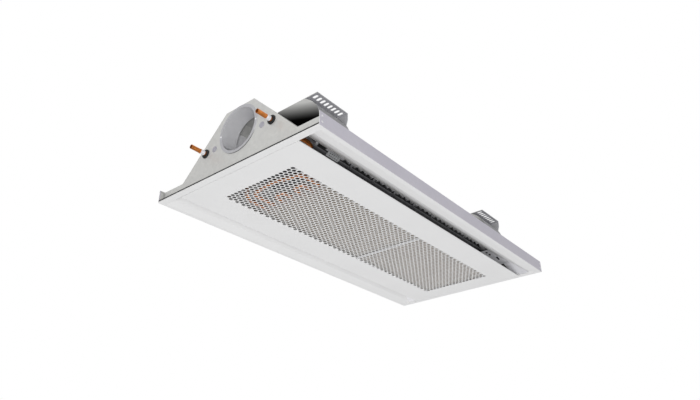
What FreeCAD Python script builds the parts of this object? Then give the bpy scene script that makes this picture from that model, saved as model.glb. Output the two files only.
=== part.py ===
import FreeCAD, Part
import os
from math import atan2, floor, pi, sqrt

import Sketcher

# Active chilled beam for a 600 x 1200 ceiling grid, seen as it hangs in the ceiling.
# Origin: centre of the face that shows in the room, on its lower surface. +Z is up,
# +X runs from the inlet end (duct spigot and pipes) to the far end, and the near side
# is -Y. Sizes are in millimetres.

os.makedirs("parts", exist_ok=True)
doc = FreeCAD.newDocument("chilled_beam")
V = FreeCAD.Vector

# A size is a number, or the sheet's own formula of sizes that other entries set.
SIZES = {
    # overall
    "beam_length": 1193.0,
    "beam_width": 593.0,
    "body_height": 197.0,
    # sheet metal
    "frame_sheet": 1.2,
    "hood_sheet": 1.0,
    "plate_sheet": 1.5,
    "hanger_sheet": 2.0,
    # front frame: skirt, resting flange, lip and outlet guide of a long side
    "skirt_height": 39.0,
    "rest_flange": 12.5,
    "lip_width": 28.0,
    "lip_rise": 6.5,
    "guide_width": 52.0,
    "guide_rise": 33.5,
    "end_strip": 18.5,
    "end_lip": 4.0,
    # end plates and hood
    "end_inset": 14.5,
    "plate_shoulder": 37.0,
    "plate_flange": 12.0,
    "hood_setback": 242.5,
    "hood_shoulder": "=beam_width / 2 - hood_setback",
    "hood_foot": 16.5,
    # hinged face panel
    "slot_margin": 78.5,
    "panel_shift": 3.5,
    "panel_width": "=beam_width - 2 * slot_margin",
    "panel_gap": 1.0,
    "panel_flange": 14.0,
    "panel_hem": 12.0,
    "grille_end_margin": 91.5,
    "grille_shift": 3.0,
    "grille_side_margin": 89.0,
    "grille_length": "=beam_length - 2 * grille_end_margin",
    "grille_width": "=panel_width - 2 * grille_side_margin",
    "grille_pitch": 34.7,
    "grille_row_pitch": 28.4,
    "grille_hole": 19.0,
    "rib_x": 76.0,
    "rib_width": 12.0,
    "rib_height": 4.0,
    # hinge and catches of the panel
    "hinge_inset": 10.0,
    "hinge_height": 8.0,
    "pin_radius": 2.5,
    "pin_clearance": 0.08,
    "pin_reach": 6.0,
    "catch_inset": 18.0,
    "catch_width": 12.0,
    "catch_sheet": 0.8,
    "catch_height": 26.0,
    "stud_radius": 2.0,
    "stud_length": 6.0,
    # duct spigot and the box behind it
    "spigot_radius": 62.75,
    "spigot_wall": 0.8,
    "spigot_height": 125.5,
    "spigot_depth": 50.0,
    "ring_radius": 71.0,
    "ring_sheet": 1.5,
    "box_half": 75.0,
    "box_floor": 60.0,
    # plenum and nozzle rails
    "inlet_chamber": 236.5,
    "plenum_start": "=inlet_chamber - beam_length / 2",
    "tray_height": 68.0,
    "tray_inset": 172.5,
    "tray_half": "=beam_width / 2 - tray_inset",
    "rail_height": 70.3,
    "rail_web": 25.3,
    "rail_flange": 12.0,
    "rail_lead": 112.0,
    "rail_start": "=plenum_start - rail_lead",
    "nozzle_lead": 17.0,
    "nozzle_start": "=plenum_start + nozzle_lead",
    "nozzle_pitch": 25.0,
    "nozzle_count": 30,
    "nozzle_radius": 3.0,
    "nozzle_inset": 9.0,
    "slide_reach": 3.7,
    "slide_back": 5.0,
    "notch_margin": 1.0,
    "slide_sheet": 1.2,
    "slide_gap": 0.25,
    "slide_travel": 12.0,
    "tab_length": 28.0,
    "tab_height": 7.0,
    "tab_sheet": 3.0,
    "scale_offset": 18.0,
    "scale_length": 46.0,
    "scale_width": 15.0,
    "scale_overlap": 7.0,
    "scale_height": 3.0,
    "staple_count": 7,
    "staple_length": 8.0,
    "baffle_length": 185.0,
    # heat exchanger
    "coil_end_gap": 55.5,
    "coil_side_gap": 156.5,
    "coil_start": "=plenum_start",
    "coil_length": "=beam_length / 2 - coil_end_gap - coil_start",
    "coil_width": "=beam_width - 2 * coil_side_gap",
    "coil_bottom": 9.0,
    "coil_height": 24.0,
    "tube_radius": 6.0,
    "tube_wall": 0.8,
    "tube_columns": 8,
    "tube_pitch": "=coil_width / tube_columns",
    "tube_stub": 14.0,
    "fin_pitch": 18.0,
    "fin_sheet": 0.5,
    "strap_width": 20.0,
    # pipes and what closes the end plate around them
    "pipe_radius": 6.3,
    "pipe_wall": 0.8,
    "pipe_inset": 15.0,
    "pipe_half_span": "=coil_width / 2 - pipe_inset",
    "pipe_height": 97.0,
    "pipe_reach": 50.0,
    "pipe_tail": 28.0,
    "pipe_tail_step": 0.3,
    "pipe_bend": 26.0,
    "pipe_drop": 57.0,
    "inlet_cross_reach": 72.0,
    "inlet_cross_bow": 18.0,
    "inlet_cross_skew": 2.0,
    "outer_cross_reach": 13.0,
    "outer_cross_rise": 25.0,
    "outer_cross_bend": 9.0,
    "grommet_radius": 13.0,
    "grommet_neck": 10.0,
    "grommet_lip": 3.0,
    "plug_offset": 35.0,
    "plug_half_span": "=pipe_half_span - plug_offset",
    "plug_height": 98.0,
    "plug_radius": 8.5,
    "plug_neck": 7.0,
    "band_length": 12.0,
    "band_wall": 0.6,
    # hangers
    "hanger_inset": 156.5,
    "hanger_pitch": "=beam_length - 2 * hanger_inset",
    "hanger_shift": 4.0,
    "hanger_length": 124.0,
    "hanger_width": 145.0,
    "hanger_step": 99.0,
    "hanger_reach": "=hood_shoulder + hanger_width",
    "hanger_knee": "=hood_shoulder + hanger_step",
    "hanger_bend": 100.0,
    "hanger_leg": 55.0,
    "hanger_hip": "=hanger_knee + hanger_leg",
    "hanger_hip_drop": 79.0,
    "hanger_slot": 18.0,
    "hanger_slot_width": 8.5,
    "hanger_slot_pitch": 14.3,
    "hanger_slot_count": 8,
    "hanger_slot_inset": 17.0,
    "hanger_slot_middle": "=hanger_reach - hanger_slot_inset",
    # rivets
    "rivet_radius": 2.8,
    "rivet_height": 1.2,
}

sheet = doc.addObject("Spreadsheet::Sheet", "Sizes")
for row, (alias, value) in enumerate(SIZES.items(), start=1):
    sheet.set("A%d" % row, alias)
    sheet.set("B%d" % row, str(value))
    sheet.setAlias("B%d" % row, alias)
doc.recompute()


def ex(text):
    """Writes an expression of the sheet's cells: $name stands for the cell of that name."""
    return text.replace("$", "Sizes.")


def num(text):
    """The value of such an expression."""
    return float(sheet.evalExpression(ex(text)))


# Places that several pieces share, as expressions of the sheet's cells.
HALF_LENGTH = "($beam_length / 2)"
HALF_WIDTH = "($beam_width / 2)"
END_FACE = "($beam_length / 2 - $end_inset)"
END_INSIDE = "($beam_length / 2 - $end_inset - $plate_sheet)"
SLOT_END = "($beam_length / 2 - $end_strip)"
STRIP_EDGE = "(%s + 0.3)" % SLOT_END
SKIRT_INSIDE = "($beam_width / 2 - $frame_sheet)"
LIP_START = "($beam_width / 2 - $rest_flange)"
FOLD_Y = "($beam_width / 2 - $rest_flange - $lip_width)"
GUIDE_Y = "($beam_width / 2 - $rest_flange - $lip_width - $guide_width)"
GUIDE_Z = "($lip_rise + $guide_rise)"
GUIDE_SLOPE = "($guide_rise / $guide_width)"
# the hood's sides slope at 45 degrees, so y + z is the same all along each face
HOOD_OUT = "($body_height + $hood_shoulder)"
HOOD_IN = "($body_height + $hood_shoulder - $hood_sheet * sqrt(2))"
PANEL_NEAR = "($panel_shift - $panel_width / 2)"
PANEL_FAR = "($panel_shift + $panel_width / 2)"
PANEL_END = "($beam_length / 2 - $end_strip + 0.3 - $panel_gap)"
HINGE_Y = "(%s - $hinge_inset)" % PANEL_FAR
CATCH_Y = "(%s + $catch_inset)" % PANEL_NEAR
RAIL_Y = "(%s - $rail_height)" % HOOD_IN
WEB_Y = "(%s - $rail_web / sqrt(2))" % RAIL_Y
WEB_Z = "($rail_height - $rail_web / sqrt(2))"
COIL_END = "($coil_start + $coil_length)"
ROW_Z = "($coil_bottom + $coil_height / 2)"
FIT = "0.3"
SLIDE_LOW = "($nozzle_inset - $slide_reach)"
SLIDE_HIGH = "($nozzle_inset + $slide_back)"


def guide_top(y):
    """Height of the outlet guide's upper surface at y."""
    return "($lip_rise + $frame_sheet + (%s - %s) * %s)" % (FOLD_Y, y, GUIDE_SLOPE)


def role_plane(body, role):
    """One of a body's own origin planes."""
    return next(o for o in body.Origin.OriginFeatures if o.Role == role)


def new_body(label):
    body = doc.addObject("PartDesign::Body", label)
    body.Label = label
    return body


def arc_between(start, end, radius, bulge_left):
    """Arc from start to end, with the centre on the right of the chord if it bulges left."""
    chord = end - start
    middle = (start + end) * 0.5
    reach = sqrt(max(radius ** 2 - (chord.Length / 2) ** 2, 0))
    left = V(-chord.y, chord.x, 0).normalize()
    centre = middle - left * reach if bulge_left else middle + left * reach
    first, last = (end, start) if bulge_left else (start, end)
    a = atan2(first.y - centre.y, first.x - centre.x)
    b = atan2(last.y - centre.y, last.x - centre.x)
    arc = Part.ArcOfCircle(Part.Circle(centre, V(0, 0, 1), radius), a, b)
    return arc, (2, 1) if bulge_left else (1, 2)


def sketch_on(body, role, offset, loops):
    """Sketch on one of the body's planes, moved along its normal by offset.

    A loop is a list of corners (u, v), or (u, v, radius, side) where an arc leads to the
    corner and bulges to the left (side 1) or right (side -1) of the way there. A loop
    ("circle", u, v, radius) is a circle, and ("slot", u, v of each end's centre, radius)
    is a slot along v. All are expressions.
    """
    sketch = body.newObject("Sketcher::SketchObject", body.Label + "_sketch")
    sketch.AttachmentSupport = [(role_plane(body, role), "")]
    sketch.MapMode = "FlatFace"
    sketch.setExpression("AttachmentOffset.Base.z", ex(offset))
    datums = []

    def hold(kind, geometry, vertex, expression):
        sketch.addConstraint(Sketcher.Constraint(kind, -1, 1, geometry, vertex, num(expression)))
        datums.append((sketch.ConstraintCount - 1, expression))

    def hold_radius(geometry, expression):
        sketch.addConstraint(Sketcher.Constraint("Radius", geometry, num(expression)))
        datums.append((sketch.ConstraintCount - 1, expression))

    for loop in loops:
        if loop[0] == "circle":
            centre = V(num(loop[1]), num(loop[2]), 0)
            circle = sketch.addGeometry(Part.Circle(centre, V(0, 0, 1), num(loop[3])))
            hold("DistanceX", circle, 3, loop[1])
            hold("DistanceY", circle, 3, loop[2])
            hold_radius(circle, loop[3])
            continue
        if loop[0] == "slot":
            along, low, high, size = loop[1], num(loop[2]), num(loop[3]), num(loop[4])
            u = num(along)
            top = sketch.addGeometry(Part.ArcOfCircle(
                Part.Circle(V(u, high, 0), V(0, 0, 1), size), 0, pi))
            left = sketch.addGeometry(Part.LineSegment(V(u - size, high, 0), V(u - size, low, 0)))
            foot = sketch.addGeometry(Part.ArcOfCircle(
                Part.Circle(V(u, low, 0), V(0, 0, 1), size), pi, 2 * pi))
            right = sketch.addGeometry(Part.LineSegment(V(u + size, low, 0), V(u + size, high, 0)))
            sketch.addConstraint([
                Sketcher.Constraint("Tangent", top, 2, left, 1),
                Sketcher.Constraint("Tangent", left, 2, foot, 1),
                Sketcher.Constraint("Tangent", foot, 2, right, 1),
                Sketcher.Constraint("Tangent", right, 2, top, 1),
                Sketcher.Constraint("Equal", top, foot)])
            hold("DistanceX", top, 3, along)
            hold("DistanceY", top, 3, loop[3])
            hold("DistanceX", foot, 3, along)
            hold("DistanceY", foot, 3, loop[2])
            hold_radius(top, loop[4])
            continue
        spots = [V(num(corner[0]), num(corner[1]), 0) for corner in loop]
        ends = []
        for i, corner in enumerate(loop):
            before, here = spots[i - 1], spots[i]
            if len(corner) == 4:
                arc, order = arc_between(before, here, num(corner[2]), corner[3] == 1)
                side = sketch.addGeometry(arc)
                hold_radius(side, corner[2])
                ends.append((side,) + order)
            else:
                side = sketch.addGeometry(Part.LineSegment(before, here))
                ends.append((side, 1, 2))
        for i, (side, start, end) in enumerate(ends):
            following = ends[(i + 1) % len(ends)]
            sketch.addConstraint(
                Sketcher.Constraint("Coincident", side, end, following[0], following[1]))
            hold("DistanceX", side, end, loop[i][0])
            hold("DistanceY", side, end, loop[i][1])
    for index, expression in datums:
        sketch.setExpression("Constraints[%d]" % index, ex(expression))
    return sketch


def pad(body, sketch, length):
    """Thickens a sketch along its plane's normal."""
    feature = body.newObject("PartDesign::Pad", body.Label + "_pad")
    feature.Profile = sketch
    feature.setExpression("Length", ex(length))
    return feature


def pocket(body, sketch, length):
    """Cuts a sketch into the body, against its plane's normal."""
    feature = body.newObject("PartDesign::Pocket", body.Label + "_pocket")
    feature.Profile = sketch
    feature.setExpression("Length", ex(length))
    return feature


def rectangle(u_low, u_high, v_low, v_high):
    return [(u_low, v_low), (u_high, v_low), (u_high, v_high), (u_low, v_high)]


def sided(side, loop):
    """A loop for the far side (1) or mirrored to the near side (-1)."""
    if side == 1:
        return loop
    return [("-(%s)" % corner[0], corner[1]) + ((corner[2], -corner[3]) if len(corner) == 4 else ())
            for corner in loop]


def box(name, x_low, x_high, y_low, y_high, z_low, z_high):
    """Part::Box between two corners, all bound to the sheet."""
    solid = doc.addObject("Part::Box", name)
    solid.setExpression("Length", ex("(%s) - (%s)" % (x_high, x_low)))
    solid.setExpression("Width", ex("(%s) - (%s)" % (y_high, y_low)))
    solid.setExpression("Height", ex("(%s) - (%s)" % (z_high, z_low)))
    for axis, low in zip("xyz", (x_low, y_low, z_low)):
        solid.setExpression("Placement.Base." + axis, ex(low))
    return solid


TURNS = {
    "x": FreeCAD.Rotation(V(0, 0, 1), V(1, 0, 0)),
    "y": FreeCAD.Rotation(V(0, 0, 1), V(0, 1, 0)),
    "z": FreeCAD.Rotation(),
}


def place(solid, x, y, z):
    for axis, where in zip("xyz", (x, y, z)):
        solid.setExpression("Placement.Base." + axis, ex(where))
    return solid


def cylinder(name, axis, x, y, z, radius, length):
    """Part::Cylinder from a point along an axis, all bound to the sheet."""
    solid = doc.addObject("Part::Cylinder", name)
    solid.Placement.Rotation = TURNS[axis]
    solid.setExpression("Radius", ex(radius))
    solid.setExpression("Height", ex(length))
    return place(solid, x, y, z)


def cut(name, base, tool):
    result = doc.addObject("Part::Cut", name)
    result.Base = base
    result.Tool = tool
    return result


def fuse(name, solids):
    result = doc.addObject("Part::MultiFuse", name)
    result.Shapes = solids
    return result


def common(name, solids):
    result = doc.addObject("Part::MultiCommon", name)
    result.Shapes = solids
    return result


def group(label, solids):
    """Separate solids of one kind in one node."""
    result = doc.addObject("Part::Compound", label)
    result.Links = solids
    result.Label = label
    return result


def tube(name, axis, x, y, z, radius, wall, length):
    """A hollow cylinder, open at both ends."""
    outer = cylinder(name + "_outer", axis, x, y, z, radius, length)
    inner = cylinder(name + "_inner", axis, x, y, z, "(%s) - (%s)" % (radius, wall), length)
    return cut(name, outer, inner)


NODES = []


def node(made):
    """Registers a finished sub-part, or each of a list of them."""
    NODES.append(made)
    return made


# Front frame


def side_frame(label, side):
    """Skirt, resting flange, lip and outlet guide of one long side, bent from one sheet."""
    body = new_body(label)
    outline = [
        (HALF_WIDTH, "$skirt_height"), (HALF_WIDTH, "0"), (LIP_START, "0"),
        (FOLD_Y, "$lip_rise"), (GUIDE_Y, GUIDE_Z), (GUIDE_Y, GUIDE_Z + " + $frame_sheet"),
        (FOLD_Y, "$lip_rise + $frame_sheet"), (LIP_START, "$frame_sheet"),
        (SKIRT_INSIDE, "$frame_sheet"), (SKIRT_INSIDE, "$skirt_height")]
    pad(body, sketch_on(body, "YZ_Plane", "-%s" % SLOT_END, [sided(side, outline)]),
        "2 * %s" % SLOT_END)
    skirt = rectangle(SKIRT_INSIDE, HALF_WIDTH, "0", "$skirt_height")
    pad(body, sketch_on(body, "YZ_Plane", "-%s" % HALF_LENGTH, [sided(side, skirt)]),
        "$beam_length")
    return body


def end_strip(label, end):
    """Strip that closes the face at one end, with a low outer lip and an inner upstand."""
    body = new_body(label)
    inner_wall = "(%s + $frame_sheet)" % STRIP_EDGE
    outline = [
        (HALF_LENGTH, "0"), (STRIP_EDGE, "0"), (STRIP_EDGE, "$panel_flange"),
        (inner_wall, "$panel_flange"), (inner_wall, "$frame_sheet"),
        (HALF_LENGTH + " - $frame_sheet", "$frame_sheet"),
        (HALF_LENGTH + " - $frame_sheet", "$end_lip"), (HALF_LENGTH, "$end_lip")]
    pad(body, sketch_on(body, "XZ_Plane", "-%s" % SKIRT_INSIDE, [sided(end, outline)]),
        "2 * %s" % SKIRT_INSIDE)
    high_face = "%s + 0.5" % (inner_wall if end == 1 else "-" + STRIP_EDGE)
    hole = sketch_on(body, "YZ_Plane", high_face,
                     [("circle", HINGE_Y, "$hinge_height", "$pin_radius")])
    pocket(body, hole, "$frame_sheet + 1")
    return body


def end_plate(label, end, holes):
    """End of the casing: a full-width foot strip under the hood's outline."""
    body = new_body(label)
    half = [(SKIRT_INSIDE, "$frame_sheet"), (SKIRT_INSIDE, "$plate_shoulder"),
            (HOOD_OUT + " - $plate_shoulder", "$plate_shoulder"), ("$hood_shoulder", "$body_height")]
    outline = half + list(reversed(sided(-1, half)))
    low_face = END_INSIDE if end == 1 else "-" + END_FACE
    pad(body, sketch_on(body, "YZ_Plane", low_face, [outline] + holes), "$plate_sheet")
    # flanges that carry the hood's slopes
    flange_low = END_INSIDE + " - $plate_flange" if end == 1 else "-" + END_INSIDE
    for side in (1, -1):
        step = "$plate_sheet * sqrt(2)"
        flange = [("%s - 41" % HOOD_IN, "41"), ("90", "%s - 90" % HOOD_IN),
                  ("90", "%s - 90 - %s" % (HOOD_IN, step)),
                  ("%s - 41 - %s" % (HOOD_IN, step), "41")]
        pad(body, sketch_on(body, "YZ_Plane", flange_low, [sided(side, flange)]),
            "$plate_flange")
    # tabs behind the skirts, which the rivets go into
    tab_low = END_INSIDE if end == 1 else "-(%s + $plate_flange)" % END_FACE
    for side in (1, -1):
        tab = rectangle(SKIRT_INSIDE + " - $plate_sheet", SKIRT_INSIDE,
                        "$end_lip + 1", "$skirt_height - 1")
        pad(body, sketch_on(body, "YZ_Plane", tab_low, [sided(side, tab)]),
            "$plate_flange + $plate_sheet")
    return body


def hood():
    """Casing top: flat crown, 45 degree slopes, and feet that lie on the outlet guides."""
    body = new_body("hood")
    foot_y = "(%s - 22)" % FOLD_Y

    def meets(line, rise):
        """y where the 45 degree line y + z = line meets the guide's top, raised by rise."""
        return "((%s - %s - $lip_rise - $frame_sheet - %s * %s) / (1 - %s))" % (
            line, rise, FOLD_Y, GUIDE_SLOPE, GUIDE_SLOPE)

    knee_out = meets(HOOD_OUT, "$hood_sheet")
    knee_in = meets(HOOD_IN, "0")
    half_out = [("%s + $hood_foot" % knee_out, guide_top("(%s + $hood_foot)" % knee_out) + " + $hood_sheet"),
                (knee_out, "%s - %s" % (HOOD_OUT, knee_out)), ("$hood_shoulder", "$body_height")]
    crown = "$body_height - $hood_sheet"
    half_in = [("%s + $hood_foot" % knee_out, guide_top("(%s + $hood_foot)" % knee_out)),
               (knee_in, "%s - %s" % (HOOD_IN, knee_in)), ("%s - (%s)" % (HOOD_IN, crown), crown)]
    outline = (half_out + list(reversed(sided(-1, half_out)))
               + sided(-1, half_in) + list(reversed(half_in)))
    pad(body, sketch_on(body, "YZ_Plane", "-" + END_INSIDE, [outline]), "2 * " + END_INSIDE)
    return body


SIDES = {"near": -1, "far": 1}

for word, side in SIDES.items():
    node(side_frame("side_frame_" + word, side))

pipe_holes = [("circle", "%s * $pipe_half_span" % side, "$pipe_height", "$grommet_neck")
              for side in (-1, 1)]
plug_holes = [("circle", "%s * $plug_half_span" % side, "$plug_height", "$plug_neck")
              for side in (-1, 1)]
duct_hole = [("circle", "0", "$spigot_height", "$spigot_radius + $spigot_wall + 0.3")]
node(end_strip("end_strip_inlet", -1))
node(end_strip("end_strip_outer", 1))
node(end_plate("end_plate_inlet", -1, duct_hole + pipe_holes + plug_holes))
node(end_plate("end_plate_outer", 1, []))
node(hood())


# Duct spigot and the box that leads its air to the plenum


def inlet_spigot():
    """Recessed collar for the duct, with a ring that lies on the end plate."""
    face = "-%s - $ring_sheet" % END_FACE
    ring = cylinder("spigot_ring", "x", face, "0", "$spigot_height", "$ring_radius", "$ring_sheet")
    collar = cylinder("spigot_collar", "x", face, "0", "$spigot_height",
                      "$spigot_radius + $spigot_wall", "$spigot_depth + $ring_sheet")
    bore = cylinder("spigot_bore", "x", face, "0", "$spigot_height", "$spigot_radius",
                    "$spigot_depth + $ring_sheet")
    made = cut("inlet_spigot", fuse("spigot_shell", [ring, collar]), bore)
    made.Label = "inlet_spigot"
    return made


def rivet(name, x, y, z, direction):
    """Head of a blind rivet, standing on a surface."""
    head = doc.addObject("Part::Cone", name)
    head.Placement.Rotation = FreeCAD.Rotation(V(0, 0, 1), direction)
    head.setExpression("Radius1", ex("$rivet_radius"))
    head.setExpression("Radius2", ex("$rivet_radius * 0.6"))
    head.setExpression("Height", ex("$rivet_height"))
    return place(head, x, y, z)


def inlet_box():
    """Open-topped trough under the hood between the spigot and the plenum."""
    body = new_body("inlet_box")
    outer = "($box_half + $hood_sheet)"
    half = [(outer, "%s - %s - %s" % (HOOD_IN, outer, FIT)), (outer, "$box_floor - $hood_sheet")]
    inner = [("$box_half", "$box_floor"), ("$box_half", "%s - $box_half - %s" % (HOOD_IN, FIT))]
    outline = half + list(reversed(sided(-1, half))) + list(reversed(sided(-1, inner))) + inner
    pad(body, sketch_on(body, "YZ_Plane", "-" + END_INSIDE, [outline]),
        "$plenum_start - $hood_sheet + " + END_INSIDE)
    return body


def plenum_wall():
    """Wall that closes the plenum towards the inlet end, around the box's outlet."""
    body = new_body("plenum_wall")
    reach = "(%s - $hood_sheet * sqrt(2) - %s)" % (HOOD_IN, FIT)
    web_line = "($rail_height - %s + $hood_sheet * sqrt(2) + %s)" % (RAIL_Y, FIT)
    corner_z = "((%s + %s) / 2)" % (reach, web_line)
    step = "($box_half + 2 * $hood_sheet)"
    half = [("%s - ($body_height - 2 * $hood_sheet)" % reach, "$body_height - 2 * $hood_sheet"),
            ("%s - %s" % (reach, corner_z), corner_z),
            (WEB_Y, "%s + %s" % (WEB_Y, web_line)), ("$tray_half", "$tray_height"),
            (step, "$tray_height"), (step, "$box_floor - $hood_sheet")]
    outline = half + list(reversed(sided(-1, half)))
    opening = rectangle("-$box_half", "$box_half", "$box_floor",
                        "%s - $box_half - 4 * $hood_sheet" % HOOD_IN)
    pad(body, sketch_on(body, "YZ_Plane", "$plenum_start - $hood_sheet", [outline, opening]),
        "$hood_sheet")
    return body


def plenum_tray():
    """Floor of the plenum over the coil, with edges that drop to the nozzle rails."""
    body = new_body("plenum_tray")
    edge = "(%s - $hood_sheet)" % WEB_Y
    half = [(edge, WEB_Z), ("$tray_half", "$tray_height")]
    above = [(edge, WEB_Z + " + $hood_sheet"), ("$tray_half", "$tray_height + $hood_sheet")]
    outline = (half + list(reversed(sided(-1, half))) + sided(-1, above) + list(reversed(above)))
    pad(body, sketch_on(body, "YZ_Plane", "$plenum_start", [outline]),
        "%s - $plenum_start" % END_INSIDE)
    return body


node(inlet_spigot())
node(group("spigot_rivets", [
    rivet("spigot_rivet_" + word, "-%s - $ring_sheet" % END_FACE,
          "%d * ($spigot_radius + $ring_radius) / 2" % side, "$spigot_height", V(-1, 0, 0))
    for word, side in SIDES.items()]))
node(inlet_box())
node(plenum_wall())
node(plenum_tray())


# Nozzle rails. Each is drawn flat, with local y running in from the hood and local z
# pointing the way the air leaves, and then leans at 45 degrees under the hood's slope.


def lean(made, side):
    """Turns a flat rail piece into its place under the near or far slope."""
    inward = V(0, -side, -1).normalize()
    outward = V(0, side, -1).normalize()
    along = inward.cross(outward)
    made.Placement.Rotation = FreeCAD.Rotation(along, inward, outward, "ZXY")
    made.setExpression("Placement.Base.y", ex("%d * %s" % (side, RAIL_Y)))
    made.setExpression("Placement.Base.z", ex("$rail_height"))
    return made


def along_rail(side, low, high):
    """Local x limits of a stretch: the near rail is turned end for end."""
    if side == 1:
        return low, high
    return "-(%s)" % high, "-(%s)" % low


def row_of_holes(body, side, inset, radius, depth, top):
    """Cuts a row of round openings at the nozzle pitch through a flat rail piece."""
    first = "%d * $nozzle_start" % side
    sketch = sketch_on(body, "XY_Plane", top, [("circle", first, inset, radius)])
    hole = pocket(body, sketch, depth)
    row = body.newObject("PartDesign::LinearPattern", body.Label + "_row")
    row.Originals = [hole]
    row.Direction = (sketch, ["H_Axis"])
    row.Reversed = side == -1
    row.setExpression("Length", ex("$nozzle_pitch * ($nozzle_count - 1)"))
    row.setExpression("Occurrences", ex("$nozzle_count"))
    body.Tip = row


def nozzle_rail(label, side):
    """Angle strip under the hood's slope, pierced with the row of nozzles."""
    body = new_body(label)
    low, high = along_rail(side, "$rail_start", END_INSIDE)
    web = rectangle(low, high, "0", "$rail_web")
    pad(body, sketch_on(body, "XY_Plane", "-$hood_sheet", [web]), "$hood_sheet")
    flange = rectangle(low, high, "0", "$hood_sheet")
    pad(body, sketch_on(body, "XY_Plane", "-$rail_flange", [flange]), "$rail_flange - $hood_sheet / 2")
    row_of_holes(body, side, "$nozzle_inset", "$nozzle_radius", "$hood_sheet + 1", "0.5")
    low, high = along_rail(side, "%s - $plate_flange - %s" % (END_INSIDE, FIT), END_INSIDE + " + 1")
    notch = rectangle(low, high, "-1", "$plate_sheet + " + FIT)
    pocket(body, sketch_on(body, "XY_Plane", "1", [notch]), "$rail_flange + 2")
    return lean(body, side)


def nozzle_slide(label, side):
    """Sliding shutter under the rail: a strip with a tongue for each nozzle and a thumb tab."""
    body = new_body(label)
    tab_x = "($rail_start + 8)"
    low, high = along_rail(side, tab_x, "$nozzle_start + $nozzle_pitch * ($nozzle_count - 0.5)")
    strip = rectangle(low, high, SLIDE_LOW, SLIDE_HIGH)
    pad(body, sketch_on(body, "XY_Plane", "$slide_gap", [strip]), "$slide_sheet")
    low, high = along_rail(side, tab_x, tab_x + " + $tab_length")
    tab = rectangle(low, high, SLIDE_LOW, SLIDE_LOW + " + $tab_sheet")
    pad(body, sketch_on(body, "XY_Plane", "$slide_gap", [tab]), "$tab_height")
    notch = "($nozzle_radius + $notch_margin)"
    row_of_holes(body, side, "%s + %s - $notch_margin" % (SLIDE_LOW, notch), notch,
                 "$slide_sheet + 2", "$slide_gap + $slide_sheet + 1")
    return lean(body, side)


def staple(name, side, middle):
    """Bridge over the slide that holds it up against the rail."""
    inner = "%s - %s" % (SLIDE_LOW, FIT)
    outer = "%s + %s" % (SLIDE_HIGH, FIT)
    roof = "$slide_gap + $slide_sheet + %s" % FIT
    low = "%d * (%s) - $staple_length / 2" % (side, middle)
    high = "%d * (%s) + $staple_length / 2" % (side, middle)
    block = box(name + "_block", low, high, "(%s) - 1" % inner, "(%s) + 3" % outer, "0",
                "(%s) + $hood_sheet" % roof)
    way = box(name + "_way", low, high, inner, outer, "0", roof)
    return cut(name, block, way)


def rail_group(label, side, solids):
    """A group of flat rail pieces, leaned with the rail."""
    made = group(label, solids)
    return lean(made, side)


def slide_scale(label, side):
    """Setting plate that bridges the slide, with the rows of dots that show its setting."""
    low, high = along_rail(side, "$plenum_start - $scale_offset - $scale_length",
                           "$plenum_start - $scale_offset")
    clear = "(%s + %s)" % (SLIDE_HIGH, FIT)
    inner = "(%s - $scale_overlap)" % clear
    under = "($slide_gap + $slide_sheet + %s)" % FIT
    plate = box(label + "_plate", low, high, inner, "%s + $scale_width" % inner, under,
                "%s + $scale_height" % under)
    foot = box(label + "_foot", low, high, clear, "%s + $scale_width" % inner, "0", under)
    dots = [box("%s_dot_%d_%d" % (label, i, j),
                "%s + 5 + %d * 8" % (low, i), "%s + 8 + %d * 8" % (low, i),
                "%s + 5 + %d * 4" % (inner, j), "%s + 7 + %d * 4" % (inner, j),
                "%s + $scale_height - 1" % under, "%s + $scale_height + 1" % under)
            for i in range(5) for j in range(2)]
    made = cut(label, fuse(label + "_block", [plate, foot]), fuse(label + "_dots", dots))
    made.Label = label
    return lean(made, side)


STAPLE_STEP = 4

for word, side in SIDES.items():
    node(nozzle_rail("nozzle_rail_" + word, side))
    node(nozzle_slide("nozzle_slide_" + word, side))
    staples = []
    for i in range(int(num("$staple_count"))):
        middle = "$nozzle_start + $nozzle_pitch * (%d + 0.5 + 0.08)" % (STAPLE_STEP * i)
        staples.append(staple("staple_%s_%d" % (word, i), side, middle))
    node(rail_group("slide_staples_" + word, side, staples))
    node(slide_scale("slide_scale_" + word, side))


def end_baffle(label, side):
    """Sheet that slopes down to the outer end of a slot, where the rail has no nozzles."""
    channel = new_body(label + "_channel")
    clear = "(%s + 4)" % (PANEL_FAR if side == 1 else "$panel_width / 2")
    outline = [(clear, "3.5"), (FOLD_Y + " - 1", "3.5"), (FOLD_Y + " - 1", "$lip_rise"),
               (GUIDE_Y + " - 1", GUIDE_Z), (GUIDE_Y + " - 1", GUIDE_Z + " + 6"),
               ("$coil_width / 2 + 15", GUIDE_Z + " + 6"), ("$coil_width / 2 + 15", "24"), (clear, "24")]
    pad(channel, sketch_on(channel, "YZ_Plane", "0", [sided(side, outline)]), HALF_LENGTH)
    slab = new_body(label + "_slab")
    high_x = "(%s - 1 - $baffle_length)" % SLOT_END
    low_x = "(%s - 1)" % SLOT_END
    slope = [(high_x, GUIDE_Z + " + 6"), (low_x, "4"), (low_x, "4 + $hood_sheet"),
             (high_x, GUIDE_Z + " + 6 + $hood_sheet")]
    pad(slab, sketch_on(slab, "XZ_Plane", "-" + HALF_WIDTH, [slope]), "$beam_width")
    made = common(label, [channel, slab])
    made.Label = label
    return made


for word, side in SIDES.items():
    node(end_baffle("end_baffle_" + word, side))


# Heat exchanger


def tube_y(column):
    return "(%d - ($tube_columns - 1) / 2) * $tube_pitch" % column


COLUMNS = int(num("$tube_columns"))
MIDDLE = COLUMNS // 2
TUBE_LOW = "($coil_start - $tube_stub)"
TUBE_HIGH = "(%s + $tube_stub)" % COIL_END


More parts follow.
